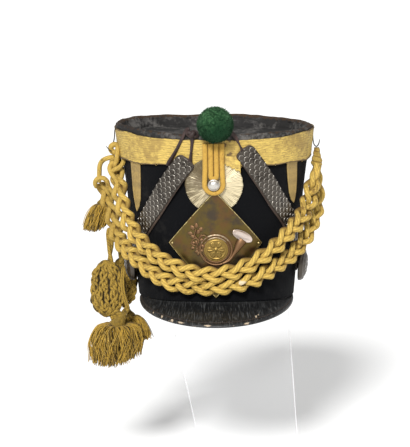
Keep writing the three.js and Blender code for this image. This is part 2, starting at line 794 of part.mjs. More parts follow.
function pompom() {
  const geometry = new THREE.SphereGeometry(POMPOM.radius, 20, 12)
    .rotateX(Math.PI / 2)
    .scale(1, 1, POMPOM.halfHeight / POMPOM.radius);
  const mesh = piece('pompom', geometry, 'greenWool');
  mesh.position.set(POMPOM.x, POMPOM.y, POMPOM.z);
  return mesh;
}

function pompomWire() {
  const ends = [POMPOM_WIRE.lowZ, lerp(POMPOM_WIRE.lowZ, POMPOM_WIRE.highZ, 0.5), POMPOM_WIRE.highZ];
  const points = ends.map((z) => onFront({ u: POMPOM.x, z, standoff: POMPOM_WIRE.standoff }));
  return piece('pompom_wire', cordTube(points, POMPOM_WIRE.diameter, 4), 'wire');
}

// Chin scales: a leather strap and the run of metal scales on it, tied up at the front.
// The half width rounds off over the last share of the way, down to a narrow blunt tip.
function roundEnd(halfWidth, endShare) {
  const bluntTip = 0.02;
  return (t) => {
    const left = clamp((1 - t) / endShare, 0, 1);
    return halfWidth * Math.sqrt(Math.max(1 - (1 - left) ** 2, bluntTip));
  };
}

function chinStrap({ side, route }) {
  const strap = ribbon({
    route,
    halfWidthAt: roundEnd(STRAP.halfWidth, STRAP.endShare),
    thickness: STRAP.thickness,
  });
  const scales = ribbon({
    route: [...route.slice(0, -1), { ...route.at(-1), z: route.at(-1).z - SCALES.setBack }],
    halfWidthAt: roundEnd(SCALES.halfWidth, SCALES.endShare),
    thickness: SCALES.thickness,
    lift: STRAP.thickness + SEAT_GAP,
  });
  return [
    piece(`chin_strap_${side}`, strap, 'brownLeather'),
    piece(`chin_scales_${side}`, scales, 'darkMetal'),
  ];
}

function boss(side, sign) {
  const rows = [
    [0, BOSS.dome],
    [BOSS.radius * 0.4, BOSS.dome * 0.92],
    [BOSS.radius * 0.72, BOSS.dome * 0.62],
    [BOSS.radius * 0.9, BOSS.edge * 1.3],
    [BOSS.radius, BOSS.edge],
    [BOSS.radius, 0],
    [0, 0],
  ];
  const azimuth = sign * BOSS.azimuth;
  const mesh = piece(`boss_${side}`, turned(rows), 'darkMetal');
  mesh.position.copy(onBody({ azimuth, z: BOSS.z, standoff: BOSS.standoff }));
  mesh.quaternion.setFromUnitVectors(new THREE.Vector3(0, 0, 1), outwardAt(azimuth, BOSS.z));
  return mesh;
}

function tieKnot() {
  const mesh = piece('tie_knot', new THREE.SphereGeometry(TIE_KNOT.radius, 10, 8), 'brownLeather');
  mesh.position.copy(onBody(TIE_KNOT));
  return mesh;
}

// Cap lines: plaits, single cords, the ring and knot that hang them, woven paddles and tassels
function ringLeft() {
  const geometry = new THREE.TorusGeometry(RING_LEFT.radius, RING_LEFT.cord / 2, FINENESS.tube, FINENESS.lathe);
  const mesh = piece('cord_ring_left', geometry, 'yellowCord');
  mesh.position.set(RING_LEFT.x, RING_LEFT.y, RING_LEFT.z);
  mesh.rotation.x = Math.PI / 2;
  return mesh;
}

function knotRight() {
  const half = KNOT_RIGHT.length / 2;
  const rows = [
    [0, half],
    [KNOT_RIGHT.radius * 0.6, half],
    [KNOT_RIGHT.radius * 0.95, half * 0.7],
    [KNOT_RIGHT.radius, 0],
    [KNOT_RIGHT.radius * 0.95, -half * 0.7],
    [KNOT_RIGHT.radius * 0.75, -half],
    [0, -half],
  ];
  const mesh = piece('cord_knot_right', turned(rows, 12), 'yellowCord');
  mesh.position.copy(onBody(KNOT_RIGHT));
  return mesh;
}

function paddle({ name, halfWidth, halfHeight, halfDepth, x, y, z, yaw }) {
  const layer = (sign) =>
    discPoints(FINENESS.paddleSpokes, FINENESS.paddleRings, (radius, angle) => {
      const bulge = Math.sqrt(Math.max(1 - radius ** 2, PADDLE_SHAPE.bluntEdge));
      const egg = 1 - PADDLE_SHAPE.egg * Math.sin(angle);
      return new THREE.Vector3(
        halfWidth * radius * Math.cos(angle) * egg,
        -sign * halfDepth * bulge,
        halfHeight * radius * Math.sin(angle),
      );
    });
  const faces = discFaces(FINENESS.paddleSpokes, FINENESS.paddleRings);
  const mesh = piece(name, thicken(layer(1), layer(-1), faces), 'oliveCord');
  mesh.position.set(x, y, z);
  mesh.rotation.z = degToRad(-yaw);
  return mesh;
}

function tassel({ name, radius, length, x, y, z, leanX, leanY }) {
  const rows = [[0, 0]];
  TASSEL_FORM.forEach((row) => rows.push([row.radius * radius, -row.depth * length]));
  rows.push([0, -length]);
  const mesh = piece(name, turned(rows), 'oliveCord');
  mesh.position.set(x, y, z);
  mesh.rotation.set(degToRad(leanX), degToRad(leanY), 0);
  return mesh;
}

// A clear stand: one sheet on edge, with a base on the floor and a rest under the crown, all one piece
function displayStand() {
  const restTop = RIM_Z - LEATHER.floorDepth - LEATHER.floorThickness - SEAT_GAP;
  const sheet = new THREE.Shape([
    new THREE.Vector2(STAND.footLeft, STAND.base / 2),
    new THREE.Vector2(STAND.footRight, STAND.base / 2),
    new THREE.Vector2(STAND.neckRight, STAND.neckZ),
    new THREE.Vector2(STAND.neckRight, restTop - STAND.rest / 2),
    new THREE.Vector2(STAND.neckLeft, restTop - STAND.rest / 2),
    new THREE.Vector2(STAND.neckLeft, STAND.neckZ),
  ]);
  const upright = new THREE.ExtrudeGeometry(sheet, { depth: STAND.sheet, bevelEnabled: false })
    .rotateX(Math.PI / 2)
    .translate(0, STAND.sheet / 2, 0);
  const baseWidth = STAND.baseRight - STAND.baseLeft;
  const baseDepth = STAND.baseBack - STAND.baseFront;
  const base = new THREE.BoxGeometry(baseWidth, baseDepth, STAND.base).translate(
    STAND.baseLeft + baseWidth / 2,
    STAND.baseFront + baseDepth / 2,
    STAND.base / 2,
  );
  const restWidth = STAND.neckRight - STAND.neckLeft;
  const rest = new THREE.BoxGeometry(restWidth, 2 * STAND.restHalfDepth, STAND.rest).translate(
    STAND.neckLeft + restWidth / 2,
    0,
    restTop - STAND.rest / 2,
  );
  return piece('display_stand', joined([upright, base, rest]), 'clearSheet');
}

const hat = new THREE.Group();
hat.add(feltBody(), leatherCrown(), topLace(), peak());
STRIPS.forEach((strip) => hat.add(sideStrip(strip)));

const front = new THREE.Group();
front.add(cockade(), frontPlate(), loopButton(), pompom(), pompomWire());
front.add(loopCord('loop_outer', LOOP.outerHalf, LOOP.arcZ));
front.add(loopCord('loop_inner', LOOP.innerHalf, LOOP.innerArcZ));

const chin = new THREE.Group();
STRAPS.forEach((strap) => chin.add(...chinStrap(strap)));
chin.add(boss('left', -1), boss('right', 1), tieKnot());
TIES.forEach(({ name, route }) => {
  chin.add(piece(name, cordTube(routePoints(route), TIE_DIAMETER, 2 * route.length), 'brownLeather'));
});

const lines = new THREE.Group();
HOOKS.forEach(({ name, route }) => {
  const geometry = cordTube(routePoints(route), HOOK_DIAMETER, 2 * route.length, FINENESS.wire);
  lines.add(piece(name, geometry, 'wire'));
});
CORDS.forEach(({ name, finish, diameter, steps, route }) => {
  lines.add(piece(name, cordTube(routePoints(route), diameter, steps), finish));
});
lines.add(ringLeft(), knotRight());
PADDLES.forEach((row) => lines.add(paddle(row)));
TASSELS.forEach((row) => lines.add(tassel(row)));

const shako = new THREE.Group();
shako.add(hat, front, chin, lines, displayStand());

export default shako;
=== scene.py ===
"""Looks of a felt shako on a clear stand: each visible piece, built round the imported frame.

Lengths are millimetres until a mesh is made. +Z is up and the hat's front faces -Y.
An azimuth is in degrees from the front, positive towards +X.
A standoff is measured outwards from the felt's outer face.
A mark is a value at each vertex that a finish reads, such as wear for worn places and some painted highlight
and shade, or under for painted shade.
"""

import logging
from collections.abc import Callable
from dataclasses import dataclass
from enum import Enum

import bpy
import bmesh
import numpy as np
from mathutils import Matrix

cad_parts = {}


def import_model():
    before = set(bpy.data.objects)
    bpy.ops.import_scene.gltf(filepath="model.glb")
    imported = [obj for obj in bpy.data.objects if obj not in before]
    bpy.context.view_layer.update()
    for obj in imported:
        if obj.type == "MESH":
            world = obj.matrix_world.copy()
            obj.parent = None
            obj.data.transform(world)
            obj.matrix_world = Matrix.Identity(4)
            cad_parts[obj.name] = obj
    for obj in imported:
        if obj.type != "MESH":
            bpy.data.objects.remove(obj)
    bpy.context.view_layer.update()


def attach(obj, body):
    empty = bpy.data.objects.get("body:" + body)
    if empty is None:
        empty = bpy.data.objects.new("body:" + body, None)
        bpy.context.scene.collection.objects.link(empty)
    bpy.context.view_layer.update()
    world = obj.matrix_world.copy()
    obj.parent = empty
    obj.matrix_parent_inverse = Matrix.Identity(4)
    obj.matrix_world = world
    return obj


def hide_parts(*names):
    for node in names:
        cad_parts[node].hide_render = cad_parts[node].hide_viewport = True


LOG = logging.getLogger("shako")
MM = 0.001
TURN = 2 * np.pi
BODY = "root"
UP = np.array([0.0, 0.0, 1.0])
FORWARD = np.array([0.0, -1.0, 0.0])
SIDES = (("left", -1), ("right", 1))
Array = np.ndarray
Colour = tuple[float, float, float]
Route = tuple[tuple[float, ...], ...]
Piece = bpy.types.Object
Link = bpy.types.NodeSocket
Sockets = dict[str, object]


# Fields and curves


def smooth_step(value: Array, low: float, high: float) -> Array:
    """A smooth rise from 0 at low to 1 at high: 3 x^2 - 2 x^3 of the clamped share x."""
    share = np.clip((np.asarray(value, float) - low) / (high - low), 0, 1)
    return share * share * (3 - 2 * share)


def bell(value: Array, middle: float, width: float) -> Array:
    """A bell of height 1 at the middle: exp(-x^2) of the distance x in widths."""
    return np.exp(-(((value - middle) / width) ** 2))


def ripple(points: Array, wavelength: float, seed: int, waves: int = 20) -> Array:
    """A smooth random field, mostly between -1 and 1.

    It is a sum of cosine waves with seeded directions, lengths and phases.

    Args:
        points: Places, with x, y and z last.
        wavelength: Middle of the waves' lengths.
        seed: Seed of the draws.
        waves: How many waves are summed.

    Returns:
        One value for each place.
    """
    rng = np.random.default_rng(seed)
    heading = rng.normal(size=(waves, 3))
    heading /= np.linalg.norm(heading, axis=1, keepdims=True)
    number = TURN / (wavelength * rng.uniform(0.6, 1.6, waves))
    phase = rng.uniform(0, TURN, waves)
    return np.cos(points @ (heading * number[:, None]).T + phase).sum(-1) / np.sqrt(2 * waves)


def unit(vectors: Array) -> Array:
    """Vectors scaled to length one."""
    return vectors / np.maximum(np.linalg.norm(vectors, axis=-1, keepdims=True), 1e-12)


def xyz(x: Array | float, y: Array | float, z: Array | float) -> Array:
    """Rows of three columns, each an array or a number."""
    return np.stack(np.broadcast_arrays(x, y, z), -1)


def circle(count: int) -> Array:
    """Evenly spaced angles round a circle."""
    return np.arange(count) * TURN / count


def spline(knots: Array, count: int) -> Array:
    """A Catmull-Rom curve through knots, at even steps of its length.

    Each span is the cubic whose slopes at its ends are half the chords of its neighbours.

    Args:
        knots: Rows that the curve passes through, of any width.
        count: How many rows to give back.

    Returns:
        The curve's rows.
    """
    knots = np.asarray(knots, float)
    padded = np.vstack([2 * knots[0] - knots[1], knots, 2 * knots[-1] - knots[-2]])
    spans = len(knots) - 1
    place = np.linspace(0, spans, 16 * count)
    index = np.minimum(place.astype(int), spans - 1)
    x = (place - index)[:, None]
    a, b, c, d = (padded[index + k] for k in range(4))
    rows = b + 0.5 * x * (c - a + x * (2 * a - 5 * b + 4 * c - d + x * (3 * (b - c) + d - a)))
    return even(rows, count)


def even(rows: Array, count: int) -> Array:
    """A path drawn again with a count of points at even steps of its length."""
    run = path_length(rows)
    at = np.linspace(0, run[-1], count)
    return np.stack([np.interp(at, run, column) for column in rows.T], -1)


def path_length(rows: Array) -> Array:
    """Length from a path's start to each of its points."""
    steps = np.linalg.norm(np.diff(rows, axis=0), axis=1)
    return np.concatenate([[0.0], np.cumsum(steps)])


def ahead(path: Array) -> Array:
    """Unit steps along a path."""
    return unit(np.gradient(path, axis=0))


# Meshes


class Mesh:
    """Vertices in millimetres, faces of three or four corners, and a texture place for each corner."""

    def __init__(self, vertices: Array, faces: list[Array], places: list[Array]) -> None:
        """Keeps the shape, with no marks yet."""
        self.vertices, self.faces, self.places = vertices, faces, places
        self.marks: dict[str, Array] = {}

    def marked(self, name: str, values: object) -> "Mesh":
        """The same mesh with a mark: the values repeated as often as they fit, and zero on what is left."""
        values = np.ravel(values).astype(float)
        times, left = divmod(len(self.vertices), len(values))
        self.marks[name] = np.concatenate([np.tile(values, times), np.zeros(left)])
        return self


def joined(parts: list[Mesh]) -> Mesh:
    """Several meshes as one, with their faces renumbered. A mark that one lacks is zero there."""
    starts = np.cumsum([0] + [len(part.vertices) for part in parts])
    faces = [rows + start for part, start in zip(parts, starts) for rows in part.faces]
    places = [rows for part in parts for rows in part.places]
    whole = Mesh(np.vstack([part.vertices for part in parts]), faces, places)
    for name in sorted({name for part in parts for name in part.marks}):
        values = [part.marks.get(name, np.zeros(len(part.vertices))) for part in parts]
        whole.marked(name, np.concatenate(values))
    return whole


def surface(points: Array, closed_u: bool = False, closed_v: bool = False, size: tuple = (1, 1)) -> Mesh:
    """A grid of points as a surface that faces the side where u, v and outwards are right-handed.

    Args:
        points: Rows of points along v, each running along u.
        closed_u: Whether each row joins up with its own start.
        closed_v: Whether the last row joins the first.
        size: What the texture place runs up to along u and v.

    Returns:
        The surface in quads.
    """
    rows, columns = points.shape[:2]
    across = np.arange(columns if closed_u else columns - 1)
    along = np.arange(rows if closed_v else rows - 1)
    a, b = np.meshgrid(across, along)
    right, above = (a + 1) % columns, (b + 1) % rows
    corners = [b * columns + a, b * columns + right, above * columns + right, above * columns + a]
    u = np.stack([a, a + 1, a + 1, a], -1) * (size[0] / len(across))
    v = np.stack([b, b, b + 1, b + 1], -1) * (size[1] / len(along))
    faces = np.stack(corners, -1).reshape(-1, 4)
    return Mesh(points.reshape(-1, 3), [faces], [np.stack([u, v], -1).reshape(-1, 4, 2)])


def slab(front: Array, back: Array, size: tuple = (1, 1)) -> Mesh:
    """A sheet with thickness: a front grid, a back grid turned over, and walls round the border.

    Args:
        front: Rows of points of the outer face.
        back: The matching points of the inner face.
        size: What the texture place runs up to along u and v.

    Returns:
        A closed mesh, the front's points before the back's.
    """
    outer, inner = surface(front, size=size), surface(back, size=size)
    inner.faces = [inner.faces[0][:, ::-1]]
    inner.places = [inner.places[0][:, ::-1]]
    rows, columns = front.shape[:2]
    count = rows * columns
    number = np.arange(count).reshape(rows, columns)
    ring = np.concatenate([number[0, :-1], number[:-1, -1], number[-1, :0:-1], number[:0:-1, 0]])
    after = np.roll(ring, -1)
    spot = np.stack([ring % columns / columns * size[0], ring // columns / rows * size[1]], -1)
    both = joined([outer, inner])
    both.faces.append(np.stack([after, ring, ring + count, after + count], -1))
    both.places.append(np.repeat(spot[:, None], 4, 1))
    return both


def round_section(sides: int, flat: float = 1.0) -> Array:
    """A unit circle's points, squeezed across by a share."""
    return np.stack([np.cos(circle(sides)) * flat, np.sin(circle(sides))], -1)


def tubes(
    paths: Array,
    radius: Array | float,
    section: Array,
    towards: Array,
    twist: Array | float = 0.0,
    closed: bool = False,
) -> Mesh:
    """A section carried along one path, or along each of several paths at once.

    At every station the section lies in the plane of a reference direction and its cross with the path.

    Args:
        paths: Points, as station and x, y, z, with the path first where there are several.
        radius: Size of the section, for all or for each path and station.
        section: The section's points as outwards and sideways shares.
        towards: Reference direction that stands for outwards, for all or for each station.
        twist: Angle of the section about the path, in radians.
        closed: Whether each path runs back into its own start.

    Returns:
        One mesh of all the tubes, their ends closed by caps whose middles are the last vertices.
    """
    paths = paths.reshape(-1, *paths.shape[-2:])
    count, stations, _ = paths.shape
    step = np.roll(paths, -1, 1) - np.roll(paths, 1, 1) if closed else np.gradient(paths, axis=1)
    step = unit(step)
    side = unit(np.cross(step, np.broadcast_to(towards, paths.shape)))
    outwards = np.cross(side, step)
    twist = np.broadcast_to(twist, (count, stations))[..., None]
    outwards, side = (
        outwards * np.cos(twist) + side * np.sin(twist),
        side * np.cos(twist) - outwards * np.sin(twist),
    )
    radius = np.broadcast_to(radius, (count, stations))[..., None, None]
    shape = section[:, :1] * outwards[:, :, None] + section[:, 1:] * side[:, :, None]
    rings = paths[:, :, None] + radius * shape
    sides = len(section)
    grid = surface(rings[0], closed_u=True, closed_v=closed)
    block = stations * sides
    first = np.arange(count)[:, None] * block
    faces = (grid.faces[0][None] + first[:, None]).reshape(-1, 4)
    run = np.linalg.norm(np.diff(paths, axis=1), axis=2).sum(1) * MM
    places = grid.places[0][None] * np.stack([np.ones(count), run], -1)[:, None, None]
    whole = Mesh(rings.reshape(-1, 3), [faces], [places.reshape(-1, 4, 2)])
    if closed:
        return whole
    around = np.arange(sides)
    after = np.roll(around, -1)
    last = first + block - sides
    middles = count * block + np.arange(count)[:, None]
    heads = xyz(middles, first + after, first + around)
    tails = xyz(middles + count, last + around, last + after)
    whole.faces.append(np.concatenate([heads.reshape(-1, 3), tails.reshape(-1, 3)]))
    whole.places.append(np.zeros((2 * count * sides, 3, 2)))
    whole.vertices = np.vstack([whole.vertices, paths[:, 0], paths[:, -1]])
    return whole


def turned(profile: Array, centre: Array, axis: Array, segments: int, lobes: Array | float = 0.0) -> Mesh:
    """A profile turned about an axis that isn't upright.

    Args:
        profile: Rows of radius and height, from the foot of the axis outwards and up to its top.
        centre: Where height zero lies on the axis.
        axis: Direction of the axis.
        segments: Points round each ring.
        lobes: Extra height, for all or for each row and segment.

    Returns:
        The turned surface, its poles left for welding.
    """
    side = unit(np.cross(UP, axis))
    angle = circle(segments)[:, None]
    spoke = np.cos(angle) * side + np.sin(angle) * np.cross(axis, side)
    height = np.repeat(profile[:, 1:], segments, 1) + lobes
    return surface(centre + profile[:, :1, None] * spoke + height[..., None] * axis, closed_u=True)


def rounded(count: int, blunt: float) -> Array:
    """Radius shares along a rod with rounded ends, the ends blunt by the share given."""
    place = np.linspace(-1, 1, count)
    return np.maximum(1 - np.abs(place) ** 8, blunt**2) ** 0.5


# Node trees


class Place(Enum):
    """Where a pattern is read from."""

    OBJECT = "Object"
    UV = "UV"


class Socket(Enum):
    """Kinds of socket on a shared group."""

    VECTOR = "NodeSocketVector"
    VALUE = "NodeSocketFloat"
    COLOUR = "NodeSocketColor"


class Nodes:
    """A node tree with short calls for the nodes that the finishes share."""

    def __init__(self, tree: bpy.types.NodeTree) -> None:
        """Keeps the tree that nodes are added to."""
        self.tree = tree

    def feed(self, socket: Link, value: object) -> None:
        """Links a socket to another one, or sets its value, a colour being opaque."""
        if isinstance(value, Link):
            self.tree.links.new(value, socket)
        else:
            socket.default_value = (*value, 1.0) if socket.type == "RGBA" else value

    def add(self, kind: str, inputs: dict | None = None, **settings: object) -> bpy.types.Node:
        """Adds a node.

        Args:
            kind: The node's type, without its Shader prefix.
            inputs: Sockets by name or number, each with a value or a socket to link.
            settings: The node's own properties.

        Returns:
            The new node.
        """
        node = self.tree.nodes.new("ShaderNode" + kind)
        for name, value in settings.items():
            setattr(node, name, value)
        for name, value in (inputs or {}).items():
            self.feed(node.inputs[name], value)
        return node

    def place(self, source: Place, scale: tuple | None = None) -> Link:
        """A pattern's coordinates, stretched by a scale on each axis where one is given."""
        link = self.add("TexCoord").outputs[source.value]
        return self.add("Mapping", {"Vector": link, "Scale": scale}).outputs[0] if scale else link

    def noise(self, place: Link, scale: object, detail: float = 4.0, rough: float = 0.55) -> Link:
        """Fractal noise between 0 and 1."""
        inputs = {"Vector": place, "Scale": scale, "Detail": detail, "Roughness": rough}
        return self.add("TexNoise", inputs).outputs[0]

    def math(self, operation: str, *values: object) -> Link:
        """One arithmetic step on values or sockets."""
        return self.add("Math", dict(enumerate(values)), operation=operation).outputs[0]

    def scaled(self, first: object, second: object, plus: object = 0.0) -> Link:
        """A product with something added."""
        return self.math("MULTIPLY_ADD", first, second, plus)

    def rise(self, value: object, low: object, high: object) -> Link:
        """A smooth mask that rises from 0 at low to 1 at high."""
        inputs = {"Value": value, "From Min": low, "From Max": high}
        return self.add("MapRange", inputs, interpolation_type="SMOOTHSTEP").outputs[0]

    def mix(self, share: object, first: object, second: object, strength: float = 1.0) -> Link:
        """Two colours mixed by a share, which is weakened by the strength."""
        if strength != 1.0:
            share = self.scaled(share, strength)
        return self.add("Mix", {0: share, 6: first, 7: second}, data_type="RGBA").outputs[2]

    def mark(self, name: str) -> Link:
        """A mark of the mesh."""
        return self.add("Attribute", attribute_name=name).outputs["Fac"]

    def bump(self, height: Link, strength: float, distance: float, under: Link | None = None) -> Link:
        """A normal raised by a height, over another normal where one is given."""
        inputs = {"Height": height, "Strength": strength, "Distance": distance}
        if under is not None:
            inputs["Normal"] = under
        return self.add("Bump", inputs).outputs[0]


def effect(output: Socket, **kinds: Socket) -> Callable:
    """Turns a function that fills a node group into one that places the group in a tree.

    Args:
        output: Kind of the group's one output.
        kinds: The group's inputs and their kinds.

    Returns:
        A decorator. The function that it gives takes a tree's nodes and a value or socket for each input. It
        makes the group the first time it is called, and gives back the placed group's output.
    """

    def decorated(fill: Callable) -> Callable:
        """The function that places the group."""

        def placed(nodes: Nodes, **values: object) -> Link:
            """The output of the group with its inputs set."""
            tree = bpy.data.node_groups.get(fill.__name__)
            if tree is None:
                tree = bpy.data.node_groups.new(fill.__name__, "ShaderNodeTree")
                for label, kind in kinds.items():
                    tree.interface.new_socket(label, in_out="INPUT", socket_type=kind.value)
                tree.interface.new_socket("result", in_out="OUTPUT", socket_type=output.value)
                entry, leave = tree.nodes.new("NodeGroupInput"), tree.nodes.new("NodeGroupOutput")
                result = fill(Nodes(tree), **{label: entry.outputs[label] for label in kinds})
                Nodes(tree).feed(leave.inputs["result"], result)
            return nodes.add("Group", values, node_tree=tree).outputs[0]

        return placed

    return decorated


@effect(
    Socket.COLOUR,
    place=Socket.VECTOR,
    clean=Socket.COLOUR,
    soiled=Socket.COLOUR,
    scale=Socket.VALUE,
    spread=Socket.VALUE,
)
def soiling(nodes: Nodes, place: Link, clean: Link, soiled: Link, scale: Link, spread: Link) -> Link:
    """A clean colour that turns to a soiled one in cloudy patches of two sizes."""
    broad = nodes.noise(place, scale, 5.0, 0.62)
    fine = nodes.noise(place, nodes.scaled(scale, 7.3), 3.0, 0.6)
    cloud = nodes.scaled(fine, 0.35, nodes.scaled(broad, 0.65))
    low = nodes.scaled(spread, -0.3, 0.62)
    return nodes.mix(nodes.rise(cloud, low, nodes.math("ADD", low, 0.16)), clean, soiled)


@effect(Socket.VALUE, place=Socket.VECTOR, scale=Socket.VALUE, cells=Socket.VALUE)
def grain(nodes: Nodes, place: Link, scale: Link, cells: Link) -> Link:
    """Height of a fine grain: noise, with the cells of a hide between its creases."""
    hide = nodes.add("TexVoronoi", {"Vector": place, "Scale": scale}).outputs["Distance"]
    return nodes.scaled(hide, cells, nodes.noise(place, scale, 6.0, 0.65))


@effect(Socket.VALUE, place=Socket.VECTOR, plies=Socket.VALUE, turns=Socket.VALUE)
def thread(nodes: Nodes, place: Link, plies: Link, turns: Link) -> Link:
    """Height of threads laid round a cord: a sine of the way round plus the way along."""
    around, along, _ = nodes.add("SeparateXYZ", {0: place}).outputs
    angle = nodes.scaled(around, plies, nodes.scaled(along, turns))
    return nodes.scaled(nodes.math("SINE", nodes.scaled(angle, TURN)), 0.5, 0.5)


@effect(Socket.VALUE, place=Socket.VECTOR, mark=Socket.VALUE, scale=Socket.VALUE, ragged=Socket.VALUE)
def wear(nodes: Nodes, place: Link, mark: Link, scale: Link, ragged: Link) -> Link:
    """A mask of worn places and of some painted highlight and shade: a mark of the mesh, broken up by noise.
    """
    noise = nodes.noise(place, scale, 6.0, 0.7)
    shift = nodes.scaled(nodes.math("SUBTRACT", noise, 0.5), ragged)
    return nodes.rise(nodes.math("ADD", mark, shift), 0.42, 0.6)


# Finishes


@dataclass(frozen=True)
class Finish:
    """A finish that makes its own material the first time it is asked for.

    Attributes:
        name: Its own name.
        slot: The record's material slot that it takes after, if any. Not used.
    """

    name: str
    slot: str | None

    def material(self) -> bpy.types.Material:
        """The finish's material, made once."""
        label = self.name + "_finish"
        made = bpy.data.materials.get(label)
        if made is None:
            made = bpy.data.materials.new(label)
            made.use_nodes = True
            nodes = Nodes(made.node_tree)
            shader = made.node_tree.nodes["Principled BSDF"]
            for socket, value in self.sockets(nodes).items():
                nodes.feed(shader.inputs[socket], value)
        return made

    def sockets(self, nodes: Nodes) -> Sockets:
        """What the shader's sockets take."""
        raise NotImplementedError


@dataclass(frozen=True)
class Felt(Finish):
    """Dense matted wool: near-black, a soft sheen, pale lint and rubbed places."""

    base: Colour
    rubbed: Colour
    lint: Colour
    nap: float = 900.0

    def sockets(self, nodes: Nodes) -> Sockets:
        """What the shader's sockets take."""
        place = nodes.place(Place.OBJECT)
        colour = soiling(nodes, place=place, clean=self.base, soiled=self.rubbed, scale=26.0, spread=0.35)
        lint = nodes.rise(nodes.noise(place, 1400.0, 2.0), 0.7, 0.78)
        height = grain(nodes, place=place, scale=self.nap, cells=0.2)
        return {
            "Base Color": nodes.mix(lint, colour, self.lint, 0.25),
            "Roughness": 0.92,
            "Specular IOR Level": 0.12,
            "Sheen Weight": 0.01,
            "Sheen Roughness": 0.5,
            "Normal": nodes.bump(height, 0.5, 0.0006),
        }


@dataclass(frozen=True)
class Leather(Finish):
    """Old leather: a grain, drawn-out cracks, and worn edges where the mesh marks them."""

    base: Colour
    faded: Colour
    worn: Colour
    gloss: float = 0.6
    hide: float = 420.0
    crack_scale: tuple = (90.0, 90.0, 12.0)
    crack_place: Place = Place.OBJECT
    crack_depth: float = 0.4
    crack_detail: float = 5.0
    spread: float = 0.4
    shine: float = 0.45

    def sockets(self, nodes: Nodes) -> Sockets:
        """What the shader's sockets take."""
        place = nodes.place(Place.OBJECT)
        shades = {"clean": self.base, "soiled": self.faded}
        colour = soiling(nodes, place=place, scale=30.0, spread=self.spread, **shades)
        streak = nodes.noise(nodes.place(self.crack_place, self.crack_scale), 1.0, self.crack_detail, 0.65)
        colour = nodes.mix(nodes.rise(streak, 0.53, 0.65), colour, self.faded, self.crack_depth)
        worn = wear(nodes, place=place, mark=nodes.mark("wear"), scale=260.0, ragged=1.1)
        dull = nodes.scaled(nodes.noise(place, 120.0), 0.3, self.gloss - 0.12)
        height = grain(nodes, place=place, scale=self.hide, cells=0.6)
        return {
            "Base Color": nodes.mix(worn, colour, self.worn),
            "Roughness": nodes.scaled(worn, 0.3, dull),
            "Specular IOR Level": self.shine,
            "Normal": nodes.bump(streak, 0.5, 0.0008, nodes.bump(height, 0.3, 0.0006)),
        }


@dataclass(frozen=True)
class Lace(Finish):
    """Woven lace: weft ribs crossed by fine warps, soiled in patches and darker along marked edges, which on
    the band's sides is painted shade.
    """

    base: Colour
    soiled: Colour
    edge: Colour
    ribs: float = 13.0
    warps: float = 480.0

    def sockets(self, nodes: Nodes) -> Sockets:
        """What the shader's sockets take."""
        place = nodes.place(Place.OBJECT)
        colour = soiling(nodes, place=place, clean=self.base, soiled=self.soiled, scale=22.0, spread=0.55)
        along, across, _ = nodes.add("SeparateXYZ", {0: nodes.place(Place.UV)}).outputs
        bend = nodes.noise(nodes.place(Place.UV, (70.0, 6.0, 1.0)), 1.0, 3.0)
        weft = nodes.math("SINE", nodes.scaled(nodes.scaled(bend, 0.12, across), self.ribs * TURN))
        warp = nodes.math("SINE", nodes.scaled(along, self.warps * TURN))
        cloth = nodes.scaled(nodes.scaled(weft, warp), 0.25, 0.5)
        streaks = nodes.noise(nodes.place(Place.UV, (90.0, 30.0, 1.0)), 1.0, 4.0, 0.65)
        colour = nodes.mix(nodes.rise(streaks, 0.38, 0.64), colour, self.soiled, 0.75)
        furrow = nodes.scaled(nodes.rise(weft, 0.3, -0.8), nodes.rise(streaks, 0.3, 0.6))
        colour = nodes.mix(furrow, colour, self.edge, 0.32)
        specks = nodes.rise(nodes.noise(place, 300.0, 3.0, 0.65), 0.61, 0.68)
        colour = nodes.mix(specks, colour, self.edge, 0.7)
        # The marked edges darken; on the band's sides that is painted shade.
        dark = wear(nodes, place=place, mark=nodes.mark("wear"), scale=150.0, ragged=0.9)
        height = nodes.scaled(nodes.noise(place, 900.0), 0.5, cloth)
        return {
            "Base Color": nodes.mix(dark, colour, self.edge),
            "Roughness": 0.7,
            "Normal": nodes.bump(height, 0.5, 0.0006),
        }


@dataclass(frozen=True)
class Cord(Finish):
    """Worsted cord: threads laid round it, a soft nap, painted shade in its thread valleys and where it lies
    under, and fading in patches.
    """

    base: Colour
    soiled: Colour
    faded: Colour
    plies: float
    turns: float
    depth: float = 0.6
    spread: float = 0.3
    shade: float = 0.4
    mottle: float = 0.3

    def sockets(self, nodes: Nodes) -> Sockets:
        """What the shader's sockets take."""
        place = nodes.place(Place.OBJECT)
        shades = {"clean": self.base, "soiled": self.soiled}
        colour = soiling(nodes, place=place, scale=42.0, spread=self.spread, **shades)
        laid = thread(nodes, place=nodes.place(Place.UV), plies=self.plies, turns=self.turns)
        # Painted shade: the soiled colour also darkens the thread valleys and what the mesh marks as under.
        valley = nodes.scaled(laid, -self.shade, self.shade)
        colour = nodes.mix(nodes.math("MAXIMUM", valley, nodes.mark("under")), colour, self.soiled)
        tufts = nodes.rise(nodes.noise(place, 480.0, 3.0, 0.65), 0.42, 0.68)
        colour = nodes.mix(tufts, colour, self.soiled, self.mottle)
        faded = wear(nodes, place=place, mark=nodes.mark("wear"), scale=220.0, ragged=0.9)
        nap = nodes.noise(place, 700.0, 5.0, 0.7)
        return {
            "Base Color": nodes.mix(faded, colour, self.faded),
            "Roughness": 0.78,
            "Specular IOR Level": 0.3,
            "Sheen Weight": 0.06,
            "Sheen Roughness": 0.4,
            "Normal": nodes.bump(nap, 0.5, 0.0009, nodes.bump(laid, self.depth, 0.0004)),
        }


